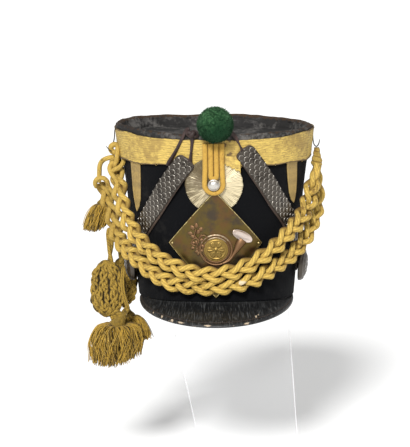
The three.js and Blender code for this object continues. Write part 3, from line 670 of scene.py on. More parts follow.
@dataclass(frozen=True)
class Pleats(Finish):
    """Pleated silvered braid: pale threads between dark rays, which widen where the mesh marks brown staining
    and painted shadow.
    """

    base: Colour
    line: Colour
    stain: Colour
    lines: float = 100.0

    def sockets(self, nodes: Nodes) -> Sockets:
        """What the shader's sockets take."""
        around = nodes.add("SeparateXYZ", {0: nodes.place(Place.UV)}).outputs[0]
        valley = nodes.math("COSINE", nodes.scaled(around, self.lines * TURN))
        rays = nodes.noise(nodes.place(Place.UV, (self.lines, 2.2, 1.0)), 1.0, 3.0, 0.6)
        deep = nodes.scaled(nodes.rise(valley, 0.55, 0.98), nodes.rise(rays, 0.36, 0.56))
        # The mark holds brown staining and, at the upper left, a painted shadow of the chin strap.
        stain_and_shadow_share = nodes.mark("stain")
        wide = nodes.rise(rays, nodes.scaled(stain_and_shadow_share, -0.24, 0.53), nodes.scaled(stain_and_shadow_share, -0.2, 0.64))
        dark = nodes.math("MAXIMUM", deep, nodes.scaled(wide, nodes.scaled(stain_and_shadow_share, 0.45, 0.5)))
        cloud = nodes.rise(nodes.noise(nodes.place(Place.OBJECT), 90.0), 0.34, 0.56)
        colour = nodes.mix(nodes.scaled(stain_and_shadow_share, cloud), self.base, self.stain, 0.8)
        return {
            "Base Color": nodes.mix(dark, colour, self.line, 0.9),
            "Metallic": 0.25,
            "Roughness": 0.42,
            "Normal": nodes.bump(rays, 0.6, 0.0006),
        }


@dataclass(frozen=True)
class Wool(Finish):
    """Clipped wool: a mottled pile, painted paler as a highlight where the mesh marks it."""

    base: Colour
    tip: Colour
    sheen: Colour

    def sockets(self, nodes: Nodes) -> Sockets:
        """What the shader's sockets take."""
        place = nodes.place(Place.OBJECT)
        tuft = nodes.noise(place, 400.0, 5.0, 0.7)
        clump = nodes.rise(nodes.noise(place, 70.0, 2.0), 0.2, 0.6)
        share = nodes.scaled(nodes.rise(tuft, 0.35, 0.75), clump)
        # Painted highlight: paler tufts where the mesh marks the top left.
        share = nodes.scaled(share, nodes.scaled(nodes.mark("fade"), 1.1, 0.15))
        return {
            "Base Color": nodes.mix(share, self.base, self.tip),
            "Roughness": 0.95,
            "Specular IOR Level": 0.15,
            "Sheen Weight": 0.1,
            "Sheen Roughness": 0.6,
            "Sheen Tint": self.sheen,
            "Normal": nodes.bump(tuft, 0.6, 0.0009),
        }


@dataclass(frozen=True)
class Metal(Finish):
    """Aged metal: tarnish in clouds, bright rubbed edges and painted highlights where the mesh marks them,
    fine pitting.
    """

    base: Colour
    tarnish: Colour
    bright: Colour
    roughness: float = 0.36
    spread: float = 0.5
    scale: float = 36.0
    pits: float = 0.15
    bloom: Colour | None = None

    def sockets(self, nodes: Nodes) -> Sockets:
        """What the shader's sockets take."""
        place = nodes.place(Place.OBJECT)
        shades = {"clean": self.base, "soiled": self.tarnish}
        colour = soiling(nodes, place=place, scale=self.scale, spread=self.spread, **shades)
        if self.bloom:
            patch = nodes.rise(nodes.noise(place, 2.3 * self.scale, 5.0, 0.6), 0.48, 0.64)
            colour = nodes.mix(patch, colour, self.bloom, 0.75)
        # Rubbed edges take the bright colour, and so do painted highlights on some pieces.
        rubbed = wear(nodes, place=place, mark=nodes.mark("wear"), scale=320.0, ragged=0.7)
        cloud = nodes.scaled(nodes.noise(place, 150.0), 0.28, self.roughness - 0.12)
        height = grain(nodes, place=place, scale=700.0, cells=0.1)
        return {
            "Base Color": nodes.mix(rubbed, colour, self.bright),
            "Metallic": 0.9,
            "Roughness": nodes.scaled(rubbed, -0.08, cloud),
            "Normal": nodes.bump(height, self.pits, 0.0004),
        }


@dataclass(frozen=True)
class ClearSheet(Finish):
    """Polished clear sheet with faint scratches, its marked edges a little paler than its faces as a painted
    highlight.
    """

    tint: Colour
    face: float = 0.03
    edge: float = 0.3

    def sockets(self, nodes: Nodes) -> Sockets:
        """What the shader's sockets take."""
        scratch = nodes.noise(nodes.place(Place.OBJECT, (40.0, 40.0, 900.0)), 1.0, 3.0)
        faint = nodes.scaled(nodes.rise(scratch, 0.62, 0.75), 0.02, self.face)
        return {
            "Base Color": self.tint,
            "Roughness": 0.12,
            "Specular IOR Level": 0.2,
            # Painted highlight: the marked edges are more opaque than the faces.
            "Alpha": nodes.scaled(nodes.mark("wear"), self.edge, faint),
        }


@dataclass(frozen=True)
class Paper(Finish):
    """Plain pale floor, lit a little from below as a light table is."""

    base: Colour
    glow: float = 0.1

    def sockets(self, nodes: Nodes) -> Sockets:
        """What the shader's sockets take."""
        return {
            "Base Color": self.base,
            "Roughness": 0.9,
            "Specular IOR Level": 0.1,
            "Emission Color": self.base,
            "Emission Strength": self.glow,
        }


class Finishes:
    """The finishes of this hat: name, slot and linear colours, from the plain one to the worn one."""

    felt = Felt("felt_black", "felt", (0.002, 0.0022, 0.003), (0.0085, 0.0082, 0.008), (0.12, 0.11, 0.1))
    crown = Leather(
        "crown_leather", "crown_leather", (0.019, 0.018, 0.0172), (0.115, 0.108, 0.1), (0.05, 0.03, 0.018),
        gloss=0.72, hide=300.0, crack_scale=(26.0, 26.0, 110.0), crack_depth=0.55, spread=0.5, shine=0.2,
    )
    peak = Leather(
        "peak_leather", "peak_leather", (0.0048, 0.005, 0.0052), (0.105, 0.107, 0.106), (0.42, 0.33, 0.23),
        gloss=0.44, crack_scale=(330.0, 3.0, 1.0), crack_detail=2.0, crack_place=Place.UV, crack_depth=0.62,
        spread=0.15,
    )
    strap = Leather(
        "strap_leather", "brown_leather", (0.045, 0.028, 0.02), (0.1, 0.066, 0.045), (0.07, 0.05, 0.035)
    )
    thong = Leather(
        "thong_leather", "brown_leather", (0.026, 0.013, 0.011), (0.075, 0.04, 0.033), (0.07, 0.04, 0.03)
    )
    lace = Lace("gold_lace", "lace", (0.64, 0.455, 0.105), (0.34, 0.225, 0.055), (0.13, 0.082, 0.028))
    strip = Lace(
        "strip_lace", "lace", (0.42, 0.285, 0.085), (0.27, 0.18, 0.065), (0.17, 0.12, 0.05),
        ribs=3.0, warps=90.0,
    )
    cord = Cord(
        "yellow_cord", "yellow_cord", (0.58, 0.395, 0.085), (0.125, 0.066, 0.011), (0.62, 0.52, 0.35),
        plies=5.0, turns=130.0,
    )
    loop = Cord(
        "loop_cord", "yellow_cord", (0.54, 0.335, 0.06), (0.3, 0.15, 0.025), (0.7, 0.5, 0.2),
        plies=14.0, turns=420.0, depth=0.5, spread=0.4,
    )
    olive = Cord(
        "olive_cord", "olive_cord", (0.37, 0.235, 0.035), (0.04, 0.024, 0.004), (0.42, 0.29, 0.07),
        plies=3.0, turns=300.0, depth=0.7,
    )
    fringe = Cord(
        "olive_fringe", "olive_cord", (0.6, 0.37, 0.05), (0.06, 0.035, 0.004), (0.5, 0.34, 0.08),
        plies=2.0, turns=500.0, spread=0.2,
    )
    wool = Wool("green_wool", "green_wool", (0.003, 0.025, 0.008), (0.06, 0.15, 0.06), (0.35, 0.75, 0.42))
    pleats = Pleats(
        "cockade_braid", "cockade_silk", (0.66, 0.57, 0.37), (0.105, 0.077, 0.034), (0.12, 0.078, 0.032)
    )
    plate = Metal(
        "plate_brass", "brass", (0.122, 0.086, 0.024), (0.068, 0.052, 0.036), (0.7, 0.57, 0.26),
        scale=14.0, spread=0.55, bloom=(0.142, 0.07, 0.03),
    )
    copper = Metal(
        "horn_copper", "brass", (0.19, 0.105, 0.052), (0.13, 0.098, 0.045), (0.42, 0.33, 0.22),
        roughness=0.5, scale=60.0,
    )
    gilt = Metal(
        "rosette_gilt", "brass", (0.25, 0.165, 0.045), (0.16, 0.11, 0.032), (0.6, 0.45, 0.18),
        roughness=0.44, scale=80.0,
    )
    silver = Metal(
        "worn_silver", "silver", (0.62, 0.59, 0.54), (0.34, 0.3, 0.24), (0.85, 0.82, 0.78),
        roughness=0.34, spread=0.4, scale=60.0,
    )
    bell = Metal(
        "bell_silver", "silver", (0.66, 0.56, 0.5), (0.32, 0.24, 0.18), (0.85, 0.8, 0.76),
        roughness=0.3, spread=0.35, scale=110.0,
    )
    scales = Metal(
        "scale_metal", "dark_metal", (0.09, 0.078, 0.065), (0.042, 0.036, 0.03), (0.3, 0.275, 0.24),
        roughness=0.34, scale=60.0, pits=0.3,
    )
    wire = Metal("hook_wire", "wire", (0.07, 0.07, 0.075), (0.05, 0.04, 0.035), (0.3, 0.3, 0.3))
    clear = ClearSheet("clear_sheet", "clear_sheet", (0.95, 0.96, 0.97))
    floor = Paper("floor_paper", None, (0.93, 0.93, 0.925))


def build(
    name: str,
    mesh: Mesh,
    finish: Finish,
    *replaces: str,
    slot: str | None = None,
    weld: bool = False,
    smooth: bool = True,
) -> Piece:
    """Makes a piece of the hat from a mesh.

    Args:
        name: The piece's name.
        mesh: Its shape, in millimetres.
        finish: Its finish.
        replaces: Nodes of the frame that it stands for.
        slot: The record's material slot, where it isn't the finish's own. Not used.
        weld: Whether points that coincide are merged, as at poles.
        smooth: Whether its faces are shaded smooth.

    Returns:
        The object, riding on the hat.
    """
    data = bpy.data.meshes.new(name)
    corners = [row for faces in mesh.faces for row in faces.tolist()]
    data.from_pydata((mesh.vertices * MM).tolist(), [], corners)
    places = np.concatenate([places.reshape(-1, 2) for places in mesh.places])
    data.uv_layers.new(name="lay").data.foreach_set("uv", places.astype(np.float32).ravel())
    for label, values in mesh.marks.items():
        data.attributes.new(label, "FLOAT", "POINT").data.foreach_set("value", values.astype(np.float32))
    if weld:
        worked = bmesh.new()
        worked.from_mesh(data)
        bmesh.ops.remove_doubles(worked, verts=worked.verts, dist=1e-6)
        worked.to_mesh(data)
        worked.free()
    data.polygons.foreach_set("use_smooth", np.full(len(data.polygons), smooth))
    data.materials.append(finish.material())
    piece = bpy.data.objects.new(name, data)
    bpy.context.scene.collection.objects.link(piece)
    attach(piece, BODY)
    if replaces:
        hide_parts(*replaces)
    LOG.info("%s: %d vertices, %d faces", name, len(data.vertices), len(data.polygons))
    return piece


# The hat's form


@dataclass(frozen=True)
class HatForm:
    """The felt's outer form: an oval that grows from the hem to the rim, leaning a little."""

    hem_z: float = 200.0
    height: float = 189.0
    hem_half: tuple = (86.5, 100.0)
    rim_half: tuple = (107.3, 111.4)
    waist: float = 1.0
    lean: float = -2.5
    front_arch: float = 7.0
    wall: float = 3.0

    @property
    def rim_z(self) -> float:
        """Height of the rim."""
        return self.hem_z + self.height

    def section(self, z: Array) -> tuple[Array, Array, Array]:
        """Half width, half depth and middle of the oval at a height."""
        share = (np.asarray(z, float) - self.hem_z) / self.height
        waist = self.waist * 4 * share * (1 - share)
        wide, deep = (low + (high - low) * share - waist for low, high in zip(self.hem_half, self.rim_half))
        return wide, deep, self.lean * share

    def point(self, azimuth: Array, z: Array, standoff: Array = 0.0, share: Array = 1.0) -> Array:
        """Points on or off the felt.

        Args:
            azimuth: Degrees from the front.
            z: Heights.
            standoff: Distances outwards.
            share: Share of the oval's size, for the crown's floor.

        Returns:
            Points in millimetres, x, y and z last.
        """
        half_width, half_depth, middle = self.section(z)
        angle = np.radians(azimuth)
        x = middle + (half_width * share + standoff) * np.sin(angle)
        return xyz(x, -(half_depth * share + standoff) * np.cos(angle), z)

    def route(self, rows: Route) -> Array:
        """Points of a route's rows of azimuth, height and standoff."""
        return self.point(*np.asarray(rows).T)

    def degree(self, azimuth: Array, z: Array) -> Array:
        """Millimetres along the felt for one degree."""
        half_width, half_depth, _ = self.section(z)
        angle = np.radians(azimuth)
        return np.radians(np.hypot(half_width * np.cos(angle), half_depth * np.sin(angle)))

    def front(self, u: Array, z: Array, standoff: Array) -> Array:
        """Points u millimetres to the right of the front line."""
        return self.point(np.asarray(u) / self.degree(0.0, z), z, standoff)

    def outwards(self, azimuth: Array, z: Array) -> Array:
        """The felt's outward direction, square to its taper as well as its oval."""
        here = self.point(azimuth, z)
        aside = self.point(np.asarray(azimuth) + 0.5, z) - here
        above = self.point(azimuth, np.asarray(z) + 0.5) - here
        return unit(np.cross(aside, above))

    def hem(self, azimuth: Array) -> Array:
        """Height of the hem, arched up over the peak."""
        return self.hem_z + self.front_arch * np.maximum(0, np.cos(np.radians(azimuth))) ** 2


FORM = HatForm()


@dataclass(frozen=True)
class Band:
    """A way along the felt, for straps: places are given along it and across it."""

    route: Route
    samples: int = 400

    def track(self) -> tuple[Array, Array, Array]:
        """Length, route rows and headings sideways and up, at even samples of the way."""
        rows = spline(np.array(self.route), self.samples)
        step = np.gradient(rows, axis=0)
        heading = unit(np.stack([step[:, 0] * FORM.degree(rows[:, 0], rows[:, 1]), step[:, 1]], -1))
        return path_length(FORM.route(rows)), rows, heading

    def length(self) -> float:
        """Length of the whole way."""
        return float(self.track()[0][-1])

    def place(self, along: Array, across: Array, lift: Array) -> Array:
        """Points of the band.

        Args:
            along: Millimetres along the way.
            across: Millimetres to the right of it, as seen from outside.
            lift: Height over the way's own standoff.

        Returns:
            Points in millimetres.
        """
        run, rows, heading = self.track()
        azimuth, z, standoff = (np.interp(along, run, column) for column in rows.T)
        sideways, up = (np.interp(along, run, column) for column in heading.T)
        azimuth = azimuth + across * up / FORM.degree(azimuth, z)
        return FORM.point(azimuth, z - across * sideways, standoff + lift)


def ring_places(azimuth: Array, radius: float) -> Array:
    """Places on a level circle, for a field that joins up with itself round the hat."""
    angle = np.radians(azimuth)
    return radius * xyz(np.cos(angle), np.sin(angle), 0)


# Hat body


@dataclass
class HatBody:
    """Felt wall, leather crown, lace and side strips."""

    felt_top: float = 384.0
    floor_depth: float = 15.0
    floor_thick: float = 2.0
    rim_inside: float = -6.0
    rim_outside: float = 1.75
    rim_roll: float = 3.6
    rim_radius: float = 120.0
    band_depth: float = 29.0
    lace_low: float = 354.0
    lace_high: float = 383.0
    lace_inner: float = 2.1
    lace_outer: float = 3.55
    lace_radius: float = 118.0
    ribs: int = 13
    left_rise: float = 2.6
    side_rise: float = 3.2
    frays: int = 110
    # The torn corner: sideways and height of its lower edge's two ends, and its top.
    flap_u: tuple = (8.4, 25.4)
    flap_low: tuple = (358.0, 348.5)
    flap_top: float = 366.0
    strip_half: float = 10.0
    # Name, then azimuth and height of the top and of the tip.
    strips: tuple = (
        ("side_strip_left", (-56.3, 355.0), (-60.7, 298.7)),
        ("side_strip_right", (53.4, 355.0), (59.0, 308.5)),
    )

    def felt(self) -> None:
        """The felt wall: a closed outline of the wall, with round edges, carried round the oval."""
        azimuth = np.linspace(0, 360, 240, endpoint=False)
        half = FORM.wall / 2
        bend = np.linspace(0, np.pi, 9)[1:-1]
        side = np.linspace(0, 1, 64)
        outline = np.concatenate([
            xyz(side, 0, 0),
            xyz(1, half * np.cos(bend) - half, half * np.sin(bend)),
            xyz(side[::-2], -2 * half, 0),
            xyz(0, -half * np.cos(bend) - half, -half * np.sin(bend)),
        ])
        share, standoff, rise = outline.T[..., None]
        low = FORM.hem(azimuth) + half
        z = low + share * (self.felt_top - half - low) + rise
        points = FORM.point(azimuth, z, standoff)
        dents = np.minimum(0, 0.5 * ripple(points, 70, 3)) + np.minimum(0, 0.25 * ripple(points, 22, 4))
        mesh = surface(FORM.point(azimuth, z, standoff + dents), closed_u=True, closed_v=True)
        build("felt_wall", mesh, Finishes.felt, "felt_body")

    def crown(self) -> None:
        """The leather top: an outline from the middle of its floor over the rim and back, carried round.

        The outline's columns are a share of the oval, a standoff and a depth under the rim. Folds lift the
        floor, and broad ripples bend the rim.
        """
        azimuth = np.linspace(0, 360, 300, endpoint=False)
        angle = np.radians(azimuth)
        floor = np.linspace(0, 0.93, 40)
        lift = 3.4 * floor**6
        roll = np.linspace(0, np.pi, 15)
        middle, reach = (self.rim_inside + self.rim_outside) / 2, (self.rim_outside - self.rim_inside) / 2
        # The floor, the inner wall, the roll, the band, the faces round the felt's edge, and the underside.
        runs = [
            xyz(floor, 0, self.floor_depth - lift),
            xyz(1, np.linspace(self.rim_inside - 2.0, self.rim_inside, 6), np.linspace(11.0, 4.5, 6)),
            xyz(1, middle - reach * np.cos(roll), self.rim_roll * (1 - np.sin(roll))),
            xyz(1, self.rim_outside, np.linspace(5, self.band_depth, 8)),
            xyz(1, [0.4, 0.4, -3.4, -3.4], [self.band_depth, 5.2, 5.2, 13.0]),
            xyz(floor[::-3], 0, self.floor_depth + self.floor_thick - lift[::-3]),
        ]
        share, standoff, depth = np.concatenate(runs).T[..., None]
        row = np.arange(len(depth))[:, None]
        # Rows where the floor, the inner wall, the rim's crest and the outer band end.
        floor_end, wall_end, crest_end, outer_end = 40, 46, 54, 69
        around = ring_places(azimuth, self.rim_radius)
        edge = bell(depth, 0, 5.0) * (row < outer_end)
        z = FORM.rim_z - depth + edge * (0.7 * ripple(around, 55, 11) + 0.25 * ripple(around, 15, 12))
        z = z + self.left_rise * smooth_step(-np.sin(angle), 0.2, 1.0) * bell(depth, 0, 14)
        flat = FORM.point(azimuth, z, standoff, share)
        folds = 0.9 * np.abs(ripple(flat, 46, 13)) + 0.45 * np.abs(ripple(flat, 17, 14))
        z = z + smooth_step(share, 0, 0.3) * (row < wall_end) * folds
        inner = (row >= floor_end) & (row < crest_end)
        swell = 0.8 * inner * ripple(flat, 30, 15) + 0.5 * edge * ripple(flat, 24, 16)
        mesh = surface(FORM.point(azimuth, z, standoff + swell, share)[::-1], closed_u=True)
        mesh.marked("wear", (edge * (0.55 - 0.1 * np.cos(angle)))[::-1])
        build("crown_leather_top", mesh, Finishes.crown, "leather_crown", weld=True)

    def lace_edge(self, azimuth: Array) -> Array:
        """Height of the lace's frayed lower edge."""
        around = ring_places(azimuth, self.lace_radius)
        wave = 0.6 * np.sin(np.radians(azimuth * 9))
        return self.lace_low + wave + 0.5 * ripple(around, 26, 21) + 0.12 * ripple(around, 7, 22)

    def lace(self) -> None:
        """The band of lace: uneven weft ribs on its outer face, and loose threads along its lower edge."""
        azimuth = np.linspace(0, 360, 480, endpoint=False)
        outer_rows = 66
        share = np.concatenate([np.linspace(0, 1, outer_rows), [1.0, 0.66, 0.33, 0.0]])[:, None]
        around = ring_places(azimuth, self.lace_radius)
        low = self.lace_edge(azimuth)
        high = self.lace_high + self.side_rise * smooth_step(np.abs(np.sin(np.radians(azimuth))), 0.6, 0.95)
        high = high + 0.5 * ripple(around, 34, 23) + 0.2 * ripple(around, 9, 24)
        z = low + share * (high - low)
        flat = FORM.point(azimuth, z)
        wander = share + 0.014 * ripple(flat, 30, 26)
        rib = 0.2 * np.abs(np.sin(wander * np.pi * self.ribs)) * (0.6 + 0.4 * ripple(flat, 15, 27))
        selvage = 0.35 * (bell(share, 0.03, 0.025) + bell(share, 0.97, 0.025))
        buckle = np.maximum(0, 0.5 * ripple(flat, 30, 25))
        outer = (np.arange(len(share)) < outer_rows)[:, None]
        standoff = np.where(outer, self.lace_outer - 0.1 + rib + selvage + buckle, self.lace_inner)
        fray = 0.8 * bell(share, 0, 0.06) + 0.42 * bell(share, 1, 0.05)
        turned_by = (azimuth + 180) % 360 - 180
        # Painted shade: the band darkens towards its sides, where it turns away from the light.
        ends = 0.34 * bell(np.abs(turned_by), 82, 18)
        holes = 0.85 * bell(turned_by, 7.2, 3.4) * smooth_step(ripple(flat, 6, 28), 0.0, 0.6)
        band = surface(FORM.point(azimuth, z, standoff), closed_u=True, closed_v=True)
        build("lace_band", band.marked("wear", fray + ends + holes), Finishes.lace, "top_lace")
        rng = np.random.default_rng(31)
        where = rng.uniform(0, 360, self.frays)
        run = np.linspace(0, 1, 5)
        drop = rng.uniform(0.5, 1.7, (self.frays, 1)) * run
        drift = rng.normal(0, 0.8, (self.frays, 1)) * run**2
        away = 3.3 + rng.uniform(-0.6, 0.9, (self.frays, 1)) * run
        paths = FORM.point(where[:, None] + drift, self.lace_edge(where)[:, None] + 0.6 - drop, away)
        threads = tubes(paths, 0.2, round_section(5), FORM.outwards(where, self.lace_low)[:, None])
        build("lace_frays", threads, Finishes.lace)

    def flap(self) -> None:
        """A torn corner of the lace that hangs over the cockade: its lower edge slants and is ragged."""
        across, up = np.meshgrid(np.linspace(0, 1, 50), np.linspace(0, 1, 36))
        u = np.interp(across, [0, 1], self.flap_u)
        low = np.interp(across, [0, 1], self.flap_low)
        low = low + 0.8 * np.sin(across * 23) + 0.5 * np.sin(across * 61 + 1)
        z = low + up * (self.flap_top - low)
        flat = FORM.front(u, z, 0.0)
        lift = 4.4 + 2.5 * smooth_step(self.flap_top - z, 2.0, 9.0) + 0.5 * np.abs(ripple(flat, 9, 41))
        fray = 0.5 * bell(z, low, 1.0) + 0.6 * (ripple(flat, 4.5, 42) > 1.15)
        mesh = slab(FORM.front(u, z, lift), FORM.front(u, z, lift - 0.6), size=(0.02, 0.4))
        build("lace_torn_corner", mesh.marked("wear", fray), Finishes.lace)

    def side_strips(self) -> None:
        """Lance-pointed strips: lengthways ribs and rolled edges over a tapering width."""
        share, across = np.meshgrid(np.linspace(1, 0, 90), np.linspace(-1, 1, 25), indexing="ij")
        width = self.strip_half * np.interp(share, [0, 0.45, 0.75, 0.92, 1], [1, 0.93, 0.76, 0.4, 0.05])
        ribs = 0.14 * np.cos(across * np.pi * 5) + 0.3 * bell(np.abs(across), 0.86, 0.12)
        edge = 0.34 * smooth_step(np.abs(across), 0.75, 1.0) + 0.3 * smooth_step(share, 0.85, 1)
        for name, top, tip in self.strips:
            azimuth, z = (high + (low - high) * share for high, low in zip(top, tip))
            azimuth = azimuth + across * width / FORM.degree(azimuth, z)
            wave = 0.25 * np.abs(ripple(FORM.point(azimuth, z), 18, 51))
            mesh = slab(FORM.point(azimuth, z, 1.25 + ribs + wave), FORM.point(azimuth, z, 0.35))
            build(name + "_lace", mesh.marked("wear", edge), Finishes.strip, name)


@dataclass
class Peak:
    """The leather peak: dished from the hem to a bowed edge, with a sewn line and chips."""

    half_width: float = 85.5
    end_y: float = -12.0
    reach: float = 133.0
    end_z: float = 198.3
    front_drop: float = 9.0
    side_tilt: float = 0.9
    end_azimuth: float = 84.0
    thickness: float = 2.6
    edge_radius: float = 1.2
    crown: float = 3.0
    seam_drop: float = 0.8
    sewn_at: float = 4.6
    stitch_count: int = 118
    # Share along the edge, distance in from it, and how wide and deep the chip is.
    chips: tuple = (
        (-0.595, 1.8, 0.011, 1.8), (-0.487, 2.0, 0.015, 2.2), (-0.38, 1.4, 0.016, 1.8),
        (0.33, 9.0, 0.012, 3.2), (0.352, 10.5, 0.008, 2.0), (-0.3, 1.0, 0.04, 1.0),
        (-0.075, 0.8, 0.04, 0.8), (0.24, 0.8, 0.03, 0.8),
    )

    def sheet(self, share: Array, inward: Array) -> tuple[Array, Array]:
        """The peak's upper face without its sewn line.

        Args:
            share: Place along the edge, from -1 at the left end to 1 at the right.
            inward: Place from the outer edge, 0, to the hem, 1.

        Returns:
            Points, and the width of the peak there.
        """
        azimuth = self.end_azimuth * share
        sweep = np.pi / 2 * share
        root = FORM.point(azimuth, FORM.hem(azimuth) - self.seam_drop, -FORM.wall)
        edge = xyz(
            self.half_width * np.sin(sweep),
            self.end_y - self.reach * np.cos(sweep),
            self.end_z - self.front_drop * np.cos(sweep) + self.side_tilt * np.sin(sweep),
        )
        points = edge + (root - edge) * inward[..., None]
        points[..., 2] += self.crown * 4 * inward * (1 - inward) ** 2 * np.cos(sweep)
        return points, np.linalg.norm(root - edge, axis=-1)

    def leather(self) -> None:
        """The peak: a round edge, a pressed line along it, shallow buckles, and marks for its chips."""
        inward = np.concatenate([np.linspace(0, 0.22, 26), np.linspace(0.22, 1, 34)[1:]])
        share, inward = np.meshgrid(np.linspace(-1, 1, 320), inward)
        points, width = self.sheet(share, inward)
        away = inward * width
        line = 0.55 * bell(away, self.sewn_at, 0.55)
        bead = 0.3 * bell(away, 2.6, 1.2)
        buckle = 0.35 * ripple(points, 40, 61) + 0.12 * ripple(points * [3.0, 0.6, 0.6], 18, 62)
        near = np.minimum(away / self.edge_radius, 1)
        rounding = self.edge_radius * (1 - np.sqrt(np.maximum(0, 1 - (1 - near) ** 2)))
        rise = (bead - line) * (width > 12) + buckle * smooth_step(inward, 0, 0.2) - rounding
        top = points + (rise + 1.6 * smooth_step(inward, 0.92, 1.0))[..., None] * UP
        under = points + (rounding - self.thickness)[..., None] * UP
        rim = 0.36 * bell(away, 0, 1.3)
        mesh = slab(top, under).marked("wear", [np.maximum(self.chip_mark(share, away), rim), rim])
        build("peak_leather_sheet", mesh, Finishes.peak, "peak")

    def chip_mark(self, share: Array, away: Array) -> Array:
        """How much the surface is chipped: the greatest of some soft spots along the edge."""
        spots = [bell(share, at, wide) * bell(away, deep, tall) for at, deep, wide, tall in self.chips]
        return 0.82 * np.max(spots, axis=0)

    def stitches(self) -> None:
        """Short stitches in the pressed line: rods with rounded ends, lying along the edge."""
        share = np.linspace(-0.93, 0.93, self.stitch_count)[:, None] + np.linspace(-0.0056, 0.0056, 6)
        _, width = self.sheet(share, np.zeros_like(share))
        points, _ = self.sheet(share, self.sewn_at / width)
        points[..., 2] += 0.05 + 0.3 * np.sin(np.linspace(0, np.pi, 6))
        mesh = tubes(points, 0.34 * rounded(6, 0.3), round_section(6), UP)
        build("peak_stitches", mesh, Finishes.strap, slot="peak_leather")


# Front trimmings


